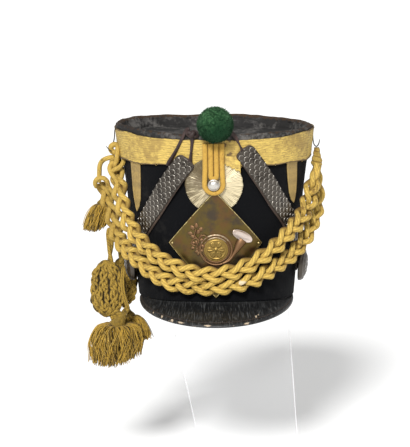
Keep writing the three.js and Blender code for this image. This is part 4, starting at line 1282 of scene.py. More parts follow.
@dataclass
class FrontTrim:
    """Cockade, corded loop, button, plate with its horn, and pompom."""

    cockade_u: float = -1.5
    cockade_z: float = 334.5
    cockade_radius: float = 30.0
    # Standoffs of the cockade's back at its foot and where it lies on the lace, and the height of that place.
    cockade_standoffs: tuple = (1.2, 3.9)
    cockade_lace_z: float = 352.0
    pleats: int = 100
    loop_u: float = -1.6
    loop_standoff: float = 8.3
    loop_cord: float = 5.6
    button_z: float = 335.8
    # Name, left leg as sideways and height, half width of the turn, and height of its middle.
    loops: tuple = (
        ("loop_outer", ((-8.25, 380.0), (-8.25, 365.0), (-8.3, 353.0), (-8.6, 345.0)), 8.9, 335.8),
        ("loop_inner", ((-2.75, 380.0), (-2.75, 366.0), (-2.75, 353.0)), 2.75, 345.0),
    )
    plate_u: float = -0.7
    plate_z: float = 270.3
    plate_half: tuple = (51.0, 59.3)
    # Standoffs of the plate's face at its foot and at its top.
    plate_standoffs: tuple = (2.0, 5.2)
    plate_across: float = 76.0
    nail_inset: float = 4.6
    horn_u: float = -0.2
    horn_z: float = 264.6
    ring: float = 16.3
    rosette_radius: float = 12.8
    # The bell's middle, half width, half height and tilt.
    bell_mouth: tuple = (26.9, 279.4, 11.2, 5.0, -31.0)
    # Stems of the twig, as right, up and height over the plate, from the coil's middle.
    stems: tuple = (
        ((-17.5, -1.8, 0.8), (-19.5, 4.2, 1.0), (-17.6, 9.7, 1.0), (-21.6, 15.7, 1.0), (-20.0, 22.7, 0.8)),
        ((-18.5, 9.2, 0.9), (-15.6, 14.8, 1.1), (-11.0, 15.8, 1.1), (-8.2, 11.6, 0.9)),
        ((-19.6, 13.2, 0.9), (-24.0, 10.2, 1.1), (-24.6, 5.6, 1.1), (-20.4, 4.4, 0.9)),
        ((-17.5, -1.8, 0.9), (-13.5, -7.3, 1.1), (-9.5, -11.4, 1.0)),
    )
    # Leaves of the twig: foot, heading in degrees and length.
    leaves: tuple = (
        (-22.0, 21.2, 130, 6.6), (-18.0, 20.2, 40, 6.2), (-23.5, 16.7, 165, 6.2), (-17.6, 13.8, 20, 5.6),
        (-21.4, 7.6, 195, 5.8), (-16.2, 4.8, -20, 5.4), (-21.6, 1.2, 175, 5.4), (-20.0, 23.2, 90, 6.0),
        (-19.6, 16.7, 60, 6.0), (-21.6, 11.8, 140, 6.0), (-17.8, 9.8, 15, 5.6), (-19.4, 5.4, 110, 5.2),
        (-18.6, 1.4, 40, 5.0),
    )
    flower: tuple = (-17.5, -1.8)
    pompom_at: tuple = (-2.1, -130.2, 401.1)
    pompom_half: tuple = (19.1, 19.1, 19.0)
    fibres: int = 5200
    wire_z: tuple = (367.4, 387.0)
    wire_standoff: float = 4.7
    wire_radius: float = 0.7

    def cockade(self) -> None:
        """The pleated disc: pleats as ridges, deeper towards the edge, on a back that rises over the lace."""
        facets = 8
        spokes = self.pleats * facets
        angle = circle(spokes)
        radius = np.linspace(0.0, 1, 26)[:, None]
        ridge = np.sin(np.pi * (np.arange(spokes) % facets) / facets) ** 0.7
        rng = np.random.default_rng(71)
        uneven = np.repeat(rng.uniform(0.5, 1.3, self.pleats), facets)
        length = 0.994 + 0.012 * ridge + 0.006 * np.repeat(rng.normal(0, 1, self.pleats), facets)
        reach = self.cockade_radius * length
        u = self.cockade_u + radius * reach * np.cos(angle)
        z = self.cockade_z + radius * reach * np.sin(angle)
        foot = self.cockade_z - self.cockade_radius
        low = np.interp(z, [foot, self.cockade_lace_z], self.cockade_standoffs)
        wave = 0.3 * np.sin(3 * angle) * radius
        front = FORM.front(u, z, low + 0.75 + 0.75 * ridge * uneven * radius + wave)
        back = FORM.front(u[-1:], z[-1:], low[-1:])
        centre = FORM.front(u * 0.02 + self.cockade_u * 0.98, z * 0.02 + self.cockade_z * 0.98, low)[:1]
        mesh = surface(np.concatenate([front, back, centre])[::-1], closed_u=True)
        # Brown staining on the left, darker at the upper left as a painted shadow of the chin strap.
        upper_left = 1.1 * smooth_step(np.cos(angle - np.radians(152)), 0.25, 0.9)
        lower_left = 0.35 * smooth_step(np.cos(angle - np.radians(215)), 0.3, 1.0)
        stain = np.maximum(upper_left, lower_left) * (0.55 + 0.45 * radius)
        mesh.marked("stain", np.concatenate([stain, stain[-1:], stain[:1]])[::-1])
        build("cockade_pleats", mesh, Finishes.pleats, "cockade", weld=True)

    def loop(self) -> None:
        """Two doubled cords: legs down the front and a round turn, the outer one spread about the button."""
        stations = 150
        wound = 1 + 0.025 * np.cos(np.arange(stations) * np.pi)
        turn = np.linspace(np.pi, TURN, 13)
        for name, leg, spread, middle in self.loops:
            left = np.array(leg)
            bow = np.stack([spread * np.cos(turn), middle + spread * np.sin(turn)], -1)
            across, z = spline(np.vstack([left, bow, left[::-1] * [-1, 1]]), stations).T
            u = self.loop_u + across
            path = FORM.front(u, z, self.loop_standoff - 0.2)
            outward = FORM.outwards(u / FORM.degree(0.0, z), z)
            mesh = tubes(path, self.loop_cord / 2 * wound, round_section(18, 0.86), outward)
            build(name + "_cord", mesh, Finishes.loop, name)

    def button(self) -> None:
        """The domed button: a rolled rim round a dome, on a shank."""
        dome = np.linspace(0, np.pi / 2, 16)
        profile = np.concatenate([
            [[0, -4.6], [2, -4.6], [2, 0], [5.7, 0], [6.15, 0.25], [6.3, 0.7], [6.15, 1.15], [5.7, 1.3]],
            np.stack([5.4 * np.cos(dome), 1.3 + 3.1 * np.sin(dome)], -1),
        ])
        centre = FORM.front(self.loop_u, self.button_z, self.loop_standoff + self.loop_cord / 2)
        mesh = turned(profile, centre, FORM.outwards(0.0, self.button_z), 48)
        build("loop_button_dome", mesh, Finishes.silver, "loop_button", weld=True)

    def plate_standoff(self, z: Array) -> Array:
        """Height of the plate's face."""
        low, high = self.plate_standoffs
        return low + (high - low) * (1 + (z - self.plate_z) / self.plate_half[1]) / 2

    def plate(self) -> None:
        """The lozenge: shallow dents, a raised rim along its four sides, and nails at its side corners."""
        s, t = np.meshgrid(np.linspace(0, 1, 90), np.linspace(0, 1, 90))
        half_width, half_height = self.plate_half
        z = self.plate_z + half_height * (s + t - 1)
        u = self.plate_u + half_width * (s - t)
        inset = self.plate_across * np.min([s, 1 - s, t, 1 - t], axis=0)
        base = self.plate_standoff(z)
        lift = base + 0.65 * bell(inset, 1.0, 0.75) + 0.22 * ripple(FORM.front(u, z, 0.0), 42, 81)
        mesh = slab(FORM.front(u, z, lift), FORM.front(u, z, base - 1))
        mesh.marked("wear", 0.62 * bell(inset, 0.7, 0.8))
        build("plate_lozenge", mesh, Finishes.plate, "front_plate")
        bend = np.linspace(0, np.pi / 2, 7)
        dome = np.vstack([[[0, -0.6], [1.3, -0.6]], np.stack([1.3 * np.cos(bend), 0.9 * np.sin(bend)], -1)])
        nails = []
        for _, sign in SIDES:
            u = self.plate_u + sign * (half_width - self.nail_inset)
            centre = FORM.front(u, self.plate_z, self.plate_standoff(self.plate_z) + 0.05)
            azimuth = u / FORM.degree(0.0, self.plate_z)
            nails.append(turned(dome, centre, FORM.outwards(azimuth, self.plate_z), 14))
        build("plate_nails", joined(nails).marked("wear", 0.6), Finishes.plate, weld=True)

    def relief(self, flat: Array) -> Array:
        """Points of the ornament, drawn as right, up and height over the plate."""
        u, z = self.horn_u + flat[..., 0], self.horn_z + flat[..., 1]
        return FORM.front(u, z, self.plate_standoff(z) + flat[..., 2])

    def horn(self) -> None:
        """The horn: a coil of two turns, a tube that widens towards its bell, and the bell's bright mouth."""
        outward = FORM.outwards(0.0, self.horn_z)
        angle = circle(96)
        # Paler metal all along the coil, most on its top as a painted highlight.
        crest = np.repeat(0.3 + 0.25 * np.sin(angle), 12)
        parts = []
        for size, thick, up in ((self.ring, 1.1, 0.7), (self.ring - 2.9, 0.65, 0.4)):
            path = self.relief(xyz(size * np.cos(angle), size * np.sin(angle), up))
            parts.append(tubes(path, thick, round_section(12), outward, closed=True).marked("wear", crest))
        bell_u, bell_z, long, short, tilt = self.bell_mouth
        u, z = bell_u - self.horn_u, bell_z - self.horn_z
        knots = [(6.5, -15.2, 0.9), (13.5, -11.4, 1.0), (18.8, -4.0, 1.2), (u - 2.4, z - 8.4, 1.1)]
        path = self.relief(spline([*knots, (u + 0.6, z - 4.2, 0.8)], 40))
        grow = 1.5 + 3.6 * smooth_step(np.linspace(0, 1, 40), 0.35, 1.0)
        parts.append(tubes(path, grow, round_section(14, 0.7), outward))
        build("horn_coil", joined(parts), Finishes.copper)
        radius = np.array([0.0, 0.3, 0.55, 0.78, 0.93, 1.0, 1.04, 1.04])[:, None]
        dish = np.array([1.2, 1.3, 1.7, 2.4, 3.1, 3.5, 3.0, 0.0])[:, None]
        spoke, lean = circle(48), np.radians(tilt)
        x, y = long * radius * np.cos(spoke), short * radius * np.sin(spoke)
        flat = xyz(u + x * np.cos(lean) - y * np.sin(lean), z + x * np.sin(lean) + y * np.cos(lean), dish)
        mouth = surface(self.relief(flat)[::-1], closed_u=True)
        build("horn_bell_mouth", mouth, Finishes.bell, weld=True)

    def twig(self) -> None:
        """The horn's cord and leaves: wavy stems, leaves along them and a small flower at their foot.

        A leaf's width follows a sine along its length, and it is arched across.
        """
        outward = FORM.outwards(0.0, self.horn_z)
        parts = [
            tubes(self.relief(spline(stem, 24)), 0.8 * rounded(24, 0.3), round_section(8), outward)
            for stem in self.stems
        ]
        petals = [(*self.flower, turn, 5.2) for turn in range(10, 370, 60)]
        along, across = np.meshgrid(np.linspace(0, 1, 9), np.linspace(1, -1, 7), indexing="ij")
        for x, y, turn, long in [*self.leaves, *petals]:
            run = along * long
            side = across * 0.38 * long * np.sin(np.pi * np.clip(along, 0.02, 0.98)) ** 0.8
            height = 0.25 + 0.7 * (1 - across**2) * np.sin(np.pi * along) ** 0.6
            lean = np.radians(turn)
            u = x + run * np.cos(lean) - side * np.sin(lean)
            z = y + run * np.sin(lean) + side * np.cos(lean)
            parts.append(slab(self.relief(xyz(u, z, height)), self.relief(xyz(u, z, 0))))
        build("horn_cord_and_leaves", joined(parts).marked("wear", 0.2), Finishes.copper)

    def rosette(self) -> None:
        """A plain rosette inside the coil: rounded petals about a boss, over a shallow dome."""
        radius = np.linspace(0, 1, 26)[:, None]
        angle = circle(120)
        petal = 1 - ((radius - 0.46) / 0.27) ** 2 - 1.4 * (1 - np.abs(np.cos(3 * angle)))
        groove = 0.35 * bell(np.sin(3 * angle), 0, 0.16)
        swell = 1.2 * bell(radius, 0, 0.12) + (0.9 - groove) * smooth_step(petal, 0.0, 0.4)
        height = 0.2 + swell + 0.55 * bell(radius, 0.78, 0.05)
        reach = self.rosette_radius * radius
        flat = xyz(reach * np.cos(angle), reach * np.sin(angle), height)
        mesh = surface(self.relief(np.concatenate([flat, flat[-1:] * [1, 1, 0]]))[::-1], closed_u=True)
        mesh.marked("wear", np.concatenate([0.16 * swell, 0 * swell[:1]])[::-1])
        build("horn_rosette", mesh, Finishes.gilt, weld=True)

    def faded(self, heading: Array) -> Array:
        """How strongly the pompom is painted paler as a highlight in a direction from its middle: most at the
        top left.
        """
        return smooth_step(heading[..., 2] - 0.3 * heading[..., 0], -0.5, 0.9)

    def pompom(self) -> None:
        """The pompom: a lumpy ball, and short wool fibres that stand out of it."""
        lift = np.linspace(-np.pi / 2, np.pi / 2, 72)[:, None]
        angle = circle(128)
        ball = xyz(np.cos(lift) * np.cos(angle), np.cos(lift) * np.sin(angle), np.sin(lift))
        half, centre = np.array(self.pompom_half), np.array(self.pompom_at)
        lumps = 0.96 + 0.018 * ripple(ball, 0.7, 91) + 0.014 * ripple(ball, 0.2, 92)
        mesh = surface(centre + ball * half * lumps[..., None], closed_u=True)
        # The ball and its fibres are painted paler towards the top left, as a highlight.
        build("pompom_ball", mesh.marked("fade", self.faded(ball)), Finishes.wool, "pompom", weld=True)
        rng = np.random.default_rng(93)
        count = self.fibres
        heading = unit(rng.normal(size=(count, 3)))
        roots = centre + heading * half * 0.95
        tips = centre + heading * half * rng.uniform(1.0, 1.045, (count, 1)) + rng.normal(0, 0.45, (count, 3))
        bent = (roots + tips) / 2 + rng.normal(0, 0.2, (count, 3))
        side = unit(np.cross(heading, rng.normal(size=(count, 3))))
        paths = np.stack([roots, bent, tips], 1)
        fibres = tubes(paths, np.array([0.2, 0.15, 0.06]), round_section(3), side[:, None])
        fibres.marked("fade", np.concatenate([np.repeat(self.faded(heading), 9), np.full(2 * count, 0.5)]))
        build("pompom_fibres", fibres, Finishes.wool)

    def pompom_wire(self) -> None:
        """The wire that carries the pompom."""
        path = FORM.front(self.pompom_at[0], np.linspace(*self.wire_z, 12), self.wire_standoff)
        mesh = tubes(path, self.wire_radius, round_section(10), FORWARD)
        build("pompom_stem", mesh, Finishes.wire, "pompom_wire")


# Chin scales


@dataclass
class ChinScales:
    """Leather straps with overlapping scales, their bosses, and the thongs that tie them up."""

    # The left strap's way and the right one's, from the boss to the tip.
    routes: tuple[Route, Route] = (
        ((-84, 236, 0.7), (-66, 264.5, 0.7), (-51.5, 289, 0.8), (-39.8, 310, 1.6), (-30.1, 330, 4.0),
         (-22.6, 346.5, 5.6), (-15, 363, 5.7)),
        ((84, 236, 0.7), (67, 268, 0.7), (52.6, 295.3, 0.8), (41.1, 315.2, 1.6), (31.1, 336.3, 3.6),
         (23.3, 354.4, 4.4), (15.2, 373.5, 4.4)),
    )
    strap_half: float = 10.4
    strap_thick: float = 1.9
    strap_shift: float = 1.6
    scale_half: float = 9.9
    scale_wide: float = 6.8
    scale_long: float = 8.8
    row_step: float = 4.8
    # Radius, then azimuth, height and standoff of the right boss. The left one has the opposite azimuth.
    boss: tuple = (18.0, 79.0, 235.0, 4.8)
    # Name, way and half width of each thong.
    ties: tuple = (
        ("tie_left_outer", ((-28, 354.5, 4.0), (-26.3, 359, 5.6), (-23.6, 366, 5.6), (-20.4, 376, 5.4),
                            (-17.6, 386, 5.2), (-15.4, 393.4, 4.6), (-13.6, 395.2, 5.4)), 2.5),
        ("tie_left_inner", ((-14.0, 360.0, 6.4), (-13.4, 364.6, 7.2), (-12.9, 374, 5.6), (-12.5, 380, 5.6),
                            (-12.2, 387, 6.2)), 2.3),
        ("tie_right", ((15.0, 372.0, 6.6), (12.6, 381.5, 5.3), (10.6, 388, 4.8), (9, 392, 4.6)), 2.2),
    )
    # Azimuth, height, standoff and size of the knot, and the half width of its thong.
    knot: tuple = (-12.1, 389.8, 6.4, 5.4, 2.2)
    thong_wear: float = 0.16

    def round_tip(self, along: Array, length: float, half: float) -> Array:
        """Half width of a strap whose far end is blunt with round corners."""
        left = np.clip((length - along) / (0.7 * half), 0, 1)
        return half * np.maximum(1 - (1 - left) ** 3, 0.003) ** (1 / 3)

    def strap(self, side: str, sign: int, band: Band) -> None:
        """The leather strap: a flat band with soft edges and a rounded tip."""
        length = band.length()
        run, across = length * np.linspace(0, 1, 140) ** 0.6, np.linspace(-1, 1, 15)
        along, across = np.meshgrid(run, across, indexing="ij")
        shift = -sign * self.strap_shift * np.interp(along / length, [0.55, 0.95], [1.0, 0.1])
        sideways = across * self.round_tip(along, length, self.strap_half) + shift
        front = band.place(along, sideways, self.strap_thick - 0.5 * np.abs(across) ** 6)
        mesh = slab(front, band.place(along, sideways, 0.0))
        mesh.marked("wear", 0.42 * smooth_step(np.abs(across), 0.7, 1.0))
        build(f"chin_strap_{side}_leather", mesh, Finishes.strap, f"chin_strap_{side}")

    def scale_spots(self, length: float) -> Array:
        """Where each scale's tip lies, along and across the strap, in rows of four and of three by turns."""
        spots = np.array([
            (at, (place - (count - 1) / 2) * self.scale_wide)
            for number, at in enumerate(np.arange(5.0, length - 1.2, self.row_step))
            for count in [3 if number % 2 else 4]
            for place in range(count)
        ])
        room = self.round_tip(spots[:, 0] + 1.0, length - 1, self.scale_half + 0.6)
        return spots[np.abs(spots[:, 1]) < room].T

    def scales(self, side: str, band: Band) -> None:
        """The scales: tongues with round ends towards the strap's tip, each lifted over the next one.

        A scale is a low dome with a crest just inside its outline, where it falls to the bed.
        """
        at, middle = self.scale_spots(band.length())[..., None, None]
        run = np.array([0.0, 0.45, 0.62, 0.76, 0.87, 0.94, 0.985, 1.0])[:, None]
        across = np.array([-1.0, -0.86, -0.45, 0.0, 0.45, 0.86, 1.0])
        nose = np.clip((run - 0.45) / 0.55, 0, 1)
        half = self.scale_wide / 2 * np.sqrt(np.maximum(1 - nose**2, 0.02)) * 1.04
        inside = np.hypot(across * 2 * half / self.scale_wide, nose)
        swell = 0.2 + 0.7 * run + 0.5 * np.clip(1 - inside**2, 0, 1) + 0.55 * bell(inside, 0.87, 0.13)
        outline = (np.abs(across) > 0.99) | (run > 0.99)
        lift = self.strap_thick + 0.35 + np.where(outline, 0.15, swell)
        along = at + self.scale_long * (run - 1)
        sideways = np.clip(middle + half * across, -self.scale_half, self.scale_half)
        points = band.place(along, sideways, lift)
        # The scales' rims take the bright colour: rubbed metal, and a painted highlight on their arcs.
        lip_wear_and_highlight = smooth_step(inside, 0.7, 0.88) * smooth_step(run, 0.45, 0.7)
        fresh = np.random.default_rng(101).uniform(0.6, 1.0, at.shape)
        tongues = joined([surface(scale) for scale in points]).marked("wear", lip_wear_and_highlight * fresh)
        name = f"chin_scales_{side}"
        build(name + "_run", joined([self.bed(band), tongues]), Finishes.scales, name)

    def bed(self, band: Band) -> Mesh:
        """The plain metal that the scales stand on, with a flat border on both sides."""
        length = band.length() - 0.6
        along, across = np.meshgrid(np.linspace(0, length, 120), np.linspace(-1, 1, 13), indexing="ij")
        sideways = across * self.round_tip(along, length, self.scale_half + 0.35)
        border = 0.7 * smooth_step(np.abs(across), 0.86, 0.95)
        front = band.place(along, sideways, self.strap_thick + 0.4 + border)
        return slab(front, band.place(along, sideways, self.strap_thick + 0.1)).marked("wear", 0.4 * border)

    def bosses(self) -> None:
        """The side bosses: a beaded rim, a ring of petals and a knob, turned about the felt's normal."""
        size, azimuth, z, standoff = self.boss
        share = np.linspace(0.99, 0.0, 34)
        radius = np.concatenate([[0.0, 1.0, 1.0], share])[:, None]
        dome = np.concatenate([[0.0, 0.0, 1.2], 1.6 + 6.4 * np.sqrt(1 - share**2)])[:, None]
        turn = circle(96)
        petals = 0.75 * np.abs(np.cos(6 * turn)) ** 0.7 * bell(radius, 0.52, 0.17)
        beads = 0.6 * np.abs(np.cos(20 * turn)) * bell(radius, 0.88, 0.05)
        relief = petals + beads + 1.1 * bell(radius, 0, 0.16)
        relief[:3] = 0
        for side, sign in SIDES:
            centre = FORM.point(sign * azimuth, z, standoff)
            axis = FORM.outwards(sign * azimuth, z)
            mesh = turned(np.hstack([radius * size, dome]), centre, axis, len(turn), relief)
            mesh.marked("wear", 0.8 * relief)
            build(f"boss_{side}_roundel", mesh, Finishes.scales, f"boss_{side}", weld=True)

    def thongs(self) -> None:
        """The thongs: flat leather laces that twist on the way to the pompom's foot, and their knot."""
        for number, (name, route, half) in enumerate(self.ties):
            rows = spline(route, 60)
            twist = 0.5 * np.sin(np.linspace(0, 5.0 + number, 60)) + 0.4
            wide = half * (0.82 + 0.18 * np.sin(np.linspace(0.4, 6.5, 60) + number))
            outward = FORM.outwards(rows[:, 0], rows[:, 1])
            mesh = tubes(FORM.route(rows + [0, 0, 0.4]), wide, round_section(12, 0.42), outward, twist)
            build(name + "_thong", mesh.marked("wear", self.thong_wear), Finishes.thong, name)
        azimuth, z, standoff, size, half = self.knot
        turn = circle(140)
        x, y = np.sin(turn) + 2 * np.sin(2 * turn), np.cos(turn) - 2 * np.cos(2 * turn)
        loops = size * xyz(0.34 * x, 0.3 * y, -0.36 * np.sin(3 * turn))
        path = FORM.point(azimuth, z, standoff) + loops
        mesh = tubes(path, half, round_section(10, 0.75), np.array([0.3, -0.9, 0.3]), closed=True)
        build("tie_knot_loops", mesh.marked("wear", self.thong_wear), Finishes.thong, "tie_knot")


# Cap lines


@dataclass(frozen=True)
class Plait:
    """A plait of three strands: each swings from edge to edge and dips twice as often."""

    strand: float = 6.2
    width: float = 19.4
    depth: float = 12.6
    pitch: float = 56.0
    sides: int = 14
    step: float = 1.1

    def strands(self, centre: Array, outward: Array, spread: Array, seed: int) -> Array:
        """The strands' own paths.

        Across, a strand follows a sine with some of its third harmonic taken off, which straightens its runs.
        Outwards it follows the sine of twice that phase, so it comes over near an edge and turns under.

        Args:
            centre: Points of the plait's middle at even steps.
            outward: Direction away from what it lies on, at each point.
            spread: Share of the full width at each point; where it is over 1 the plait is looser.
            seed: Seed of its unevenness.

        Returns:
            Points as strand, station and x, y, z.
        """
        side = unit(np.cross(ahead(centre), outward))
        number = np.arange(3)[:, None]
        phase = TURN * path_length(centre) / self.pitch + 0.4 * ripple(centre, 90, seed)
        phase = phase + number * TURN / 3 + 0.7 * seed
        apart = centre + number[..., None] * 500.0
        swing = (self.width - self.strand) / 2 * spread
        across = swing * (np.sin(phase) - 0.11 * np.sin(3 * phase)) / 1.11
        across = across + 0.09 * self.strand * ripple(apart, 26, seed)
        dip = (self.depth - self.strand) / 2 * np.clip(spread, 0.6, 1.1)
        over = dip * np.tanh(1.5 * np.sin(2 * phase)) / np.tanh(1.5)
        over = over + 0.06 * self.strand * ripple(apart, 20, seed + 1)
        return centre + across[..., None] * side + over[..., None] * outward


@dataclass(frozen=True)
class Raquette:
    """A flat woven paddle: small plaits side by side, bowed like meridians and drawn together at both ends.

    Attributes:
        name: Name of the node that it stands for.
        at: Its middle.
        half: Half its width, depth and height.
        turn: Degrees that it is turned about the vertical.
        seed: Seed of its unevenness.
    """

    name: str
    at: tuple
    half: tuple
    turn: float
    seed: int
    cord: float = 1.6
    stations: int = 90
    sides: int = 8

    def shade_core(self, axes: Array) -> Mesh:
        """A flattened ball inside, dark as painted shade, which keeps the light out of the gaps of the weave.
        """
        wide, deep, tall = self.half
        rings = np.linspace(-np.pi / 2, np.pi / 2, 24)[:, None]
        x, y = np.cos(rings) * np.cos(circle(32)), np.cos(rings) * np.sin(circle(32))
        ball = xyz((wide - 4.0) * x, -0.45 * deep * y, (tall - 4.0) * np.sin(rings))
        return surface(self.at + ball @ axes, closed_u=True).marked("under", 1.0)

    def weave(self) -> Piece:
        """The woven piece: a layer of chains on its front and one on its back, each of two crossing cords."""
        lean = np.radians(-self.turn)
        right = np.array([np.cos(lean), np.sin(lean), 0.0])
        face = np.array([np.sin(lean), -np.cos(lean), 0.0])
        axes = np.stack([right, face, UP])
        wide, deep, tall = self.half
        rng = np.random.default_rng(self.seed)
        place = np.linspace(-1, 1, self.stations)
        bow = np.maximum(0, 1 - np.abs(place) ** 2.4) ** 0.56 * (1 + 0.05 * place)
        phase = np.array([[0], [np.pi]])
        parts = [self.shade_core(axes)]
        for layer, chains in ((1.0, 7), (-1.0, 6)):
            for share in np.linspace(-0.94, 0.94, chains):
                sway = rng.normal(0, 0.05) + 0.06 * np.sin(place * 3 + rng.uniform(0, TURN))
                x = (share + sway) * (wide - 1.8) * bow
                bulge = np.sqrt(max(0.06, 1 - share**2)) * (0.3 + 0.7 * bow)
                y = 0.66 * deep * bulge + rng.uniform(-0.7, 0.9)
                z = -place * (tall - rng.uniform(1.0, 3.0))
                centre = even(self.at + xyz(x, layer * y, z) @ axes, self.stations)
                outward = unit(layer * face + 0.5 * share * right)
                turn = TURN * path_length(centre) / rng.uniform(17.0, 23.0) + phase
                turn = turn + 0.6 * ripple(centre, 14, self.seed)
                loose = 1.9 + 0.4 * ripple(centre, 16, self.seed + 3)
                paths = centre + (loose * np.sin(turn))[..., None] * np.cross(outward, UP)
                paths = paths + (1.05 * np.cos(2 * turn + phase))[..., None] * outward
                mesh = tubes(paths, self.cord, round_section(self.sides), outward)
                skin = mesh.vertices[:-4].reshape(2, self.stations, self.sides, 3)
                height = ((skin - centre[:, None]) * outward).sum(-1)
                # Painted shade on the sides of the cords that face inwards.
                parts.append(mesh.marked("under", smooth_step(-height, -2.0, 0.5)))
        return build(self.name + "_weave", joined(parts), Finishes.olive, self.name, weld=True)


@dataclass(frozen=True)
class Tassel:
    """A tassel: a twisted neck, a threaded cap, and a skirt of threads that fall from under it.

    Attributes:
        name: Name of the node that it stands for.
        top: The top of its neck.
        foot: The middle of the cap's lower edge.
        radius: Radius of the skirt's foot.
        fall: Length of the skirt.
        seed: Seed of the threads.
        count: How many threads it has.
        lean: Sideways and backward drift of the skirt for each unit of fall.
        rise: How far the threads lift before they fall.
        slant: How much shorter the threads on its right are.
    """

    name: str
    top: tuple
    foot: tuple
    radius: float
    fall: float
    seed: int
    count: int
    lean: tuple
    rise: float = 0.0
    slant: float = 0.0
    # Shares of the way down the cap, and its girth there.
    girth: Route = ((0, 0), (0.06, 0.34), (0.3, 0.42), (0.6, 0.62), (0.85, 0.92), (0.96, 1.0), (1.0, 0.9))
    furrows: int = 44
    stations: int = 12
    sides: int = 4

    @property
    def cap_radius(self) -> float:
        """Radius of the cap, in step with the skirt's."""
        return 0.22 * self.radius + 3.0

    @property
    def height(self) -> Array:
        """The way from the cap's lower edge up to the top of the neck."""
        return np.subtract(self.top, self.foot)

    def cap(self) -> Piece:
        """The furrowed cap, and the two plies of the neck that twist out of it."""
        axis = unit(self.height)
        side = unit(np.cross(axis, [0.0, -1.0, 0.3]))
        other = np.cross(axis, side)
        share = np.linspace(0, 1, 40)[:, None]
        swell = np.interp(share, *np.array(self.girth).T)
        angle = circle(4 * self.furrows)
        furrow = np.abs(np.sin(angle * self.furrows / 2 + 2.2 * share))
        reach = self.cap_radius * swell * (0.93 + 0.07 * furrow)
        spoke = np.cos(angle)[:, None] * side + np.sin(angle)[:, None] * other
        skin = self.top - share[..., None] * self.height + reach[..., None] * spoke
        closed = np.concatenate([skin, np.broadcast_to(self.foot, skin[:1].shape)])
        # Painted shade in the cap's furrows, and all over the disc that closes its foot.
        dark = np.concatenate([0.22 * smooth_step(-furrow, -0.5, -0.1), np.ones((1, len(angle)))])
        spun = surface(closed[::-1], closed_u=True).marked("under", dark[::-1]).marked("wear", 0.35)
        turn = np.linspace(0, TURN * 1.6, 60)[:, None]
        middle = self.top - np.linspace(0.75, -0.06, 60)[:, None] * self.height
        wound = 1.6 * (np.cos(turn) * side + np.sin(turn) * other)
        plies = np.stack([middle + wound, middle - wound])
        neck = tubes(plies, 1.9 * rounded(60, 0.4), round_section(10), np.array([0.0, -1.0, 0.2]))
        return build(self.name + "_cap", joined([spun, neck]), Finishes.olive, self.name, weld=True)

    def fringe(self) -> Piece:
        """The skirt: threads leave the cap outwards, bend over and hang, more steeply the further in."""
        rng = np.random.default_rng(self.seed)
        each = (self.count, 1)
        around = rng.uniform(0, TURN, each)
        out = np.sqrt(rng.uniform(0.03, 1.15, each))
        run = np.linspace(0, 1, self.stations)
        start = self.cap_radius * (0.3 + 0.6 * out)
        belly = (1 - (1 - run) ** 2.8) * (1 - 0.14 * smooth_step(run, 0.5, 1.0))
        reach = start + (self.radius * out * rng.uniform(0.85, 1.1, each) - start) * belly
        cut = 1 - 0.1 * out**2 - self.slant * out * smooth_step(np.cos(around), 0.0, 0.9)
        down = self.fall * rng.uniform(0.8, 1.04, each) * cut * run**1.5
        down = down - self.rise * out * np.sin(np.pi * np.minimum(run * 1.8, 1))
        heading = around + rng.normal(0, 0.2, each) * run + 0.09 * np.sin(run * 8 + around * 9)
        spot = xyz(run * 34, 90 * out, 40 * around)
        stray = 0.045 * self.radius * run
        x = reach * np.cos(heading) + stray * ripple(spot, 26, self.seed + 1) + self.lean[0] * down
        y = reach * np.sin(heading) + stray * ripple(spot, 26, self.seed + 2) + self.lean[1] * down
        paths = self.foot + 0.08 * self.height + xyz(x, y, -down)
        thick = rng.uniform(0.38, 0.58, each) * (1 - 0.25 * run)
        mesh = tubes(paths, thick, round_section(self.sides), np.array([0.13, -0.9, 0.31]))
        on_thread = self.stations * self.sides
        mesh.marked("wear", np.repeat(rng.uniform(0, 0.5, self.count), on_thread))
        # Threads darken at random, and more of them towards the middle of the skirt as painted shade.
        deep = smooth_step(rng.uniform(0, 1, self.count) - 0.25 * out[:, 0], 0.15, 0.75)
        return build(self.name + "_fringe", mesh.marked("under", np.repeat(deep, on_thread)), Finishes.fringe)

    def pieces(self) -> list[Piece]:
        """The cap and the fringe."""
        return [self.cap(), self.fringe()]


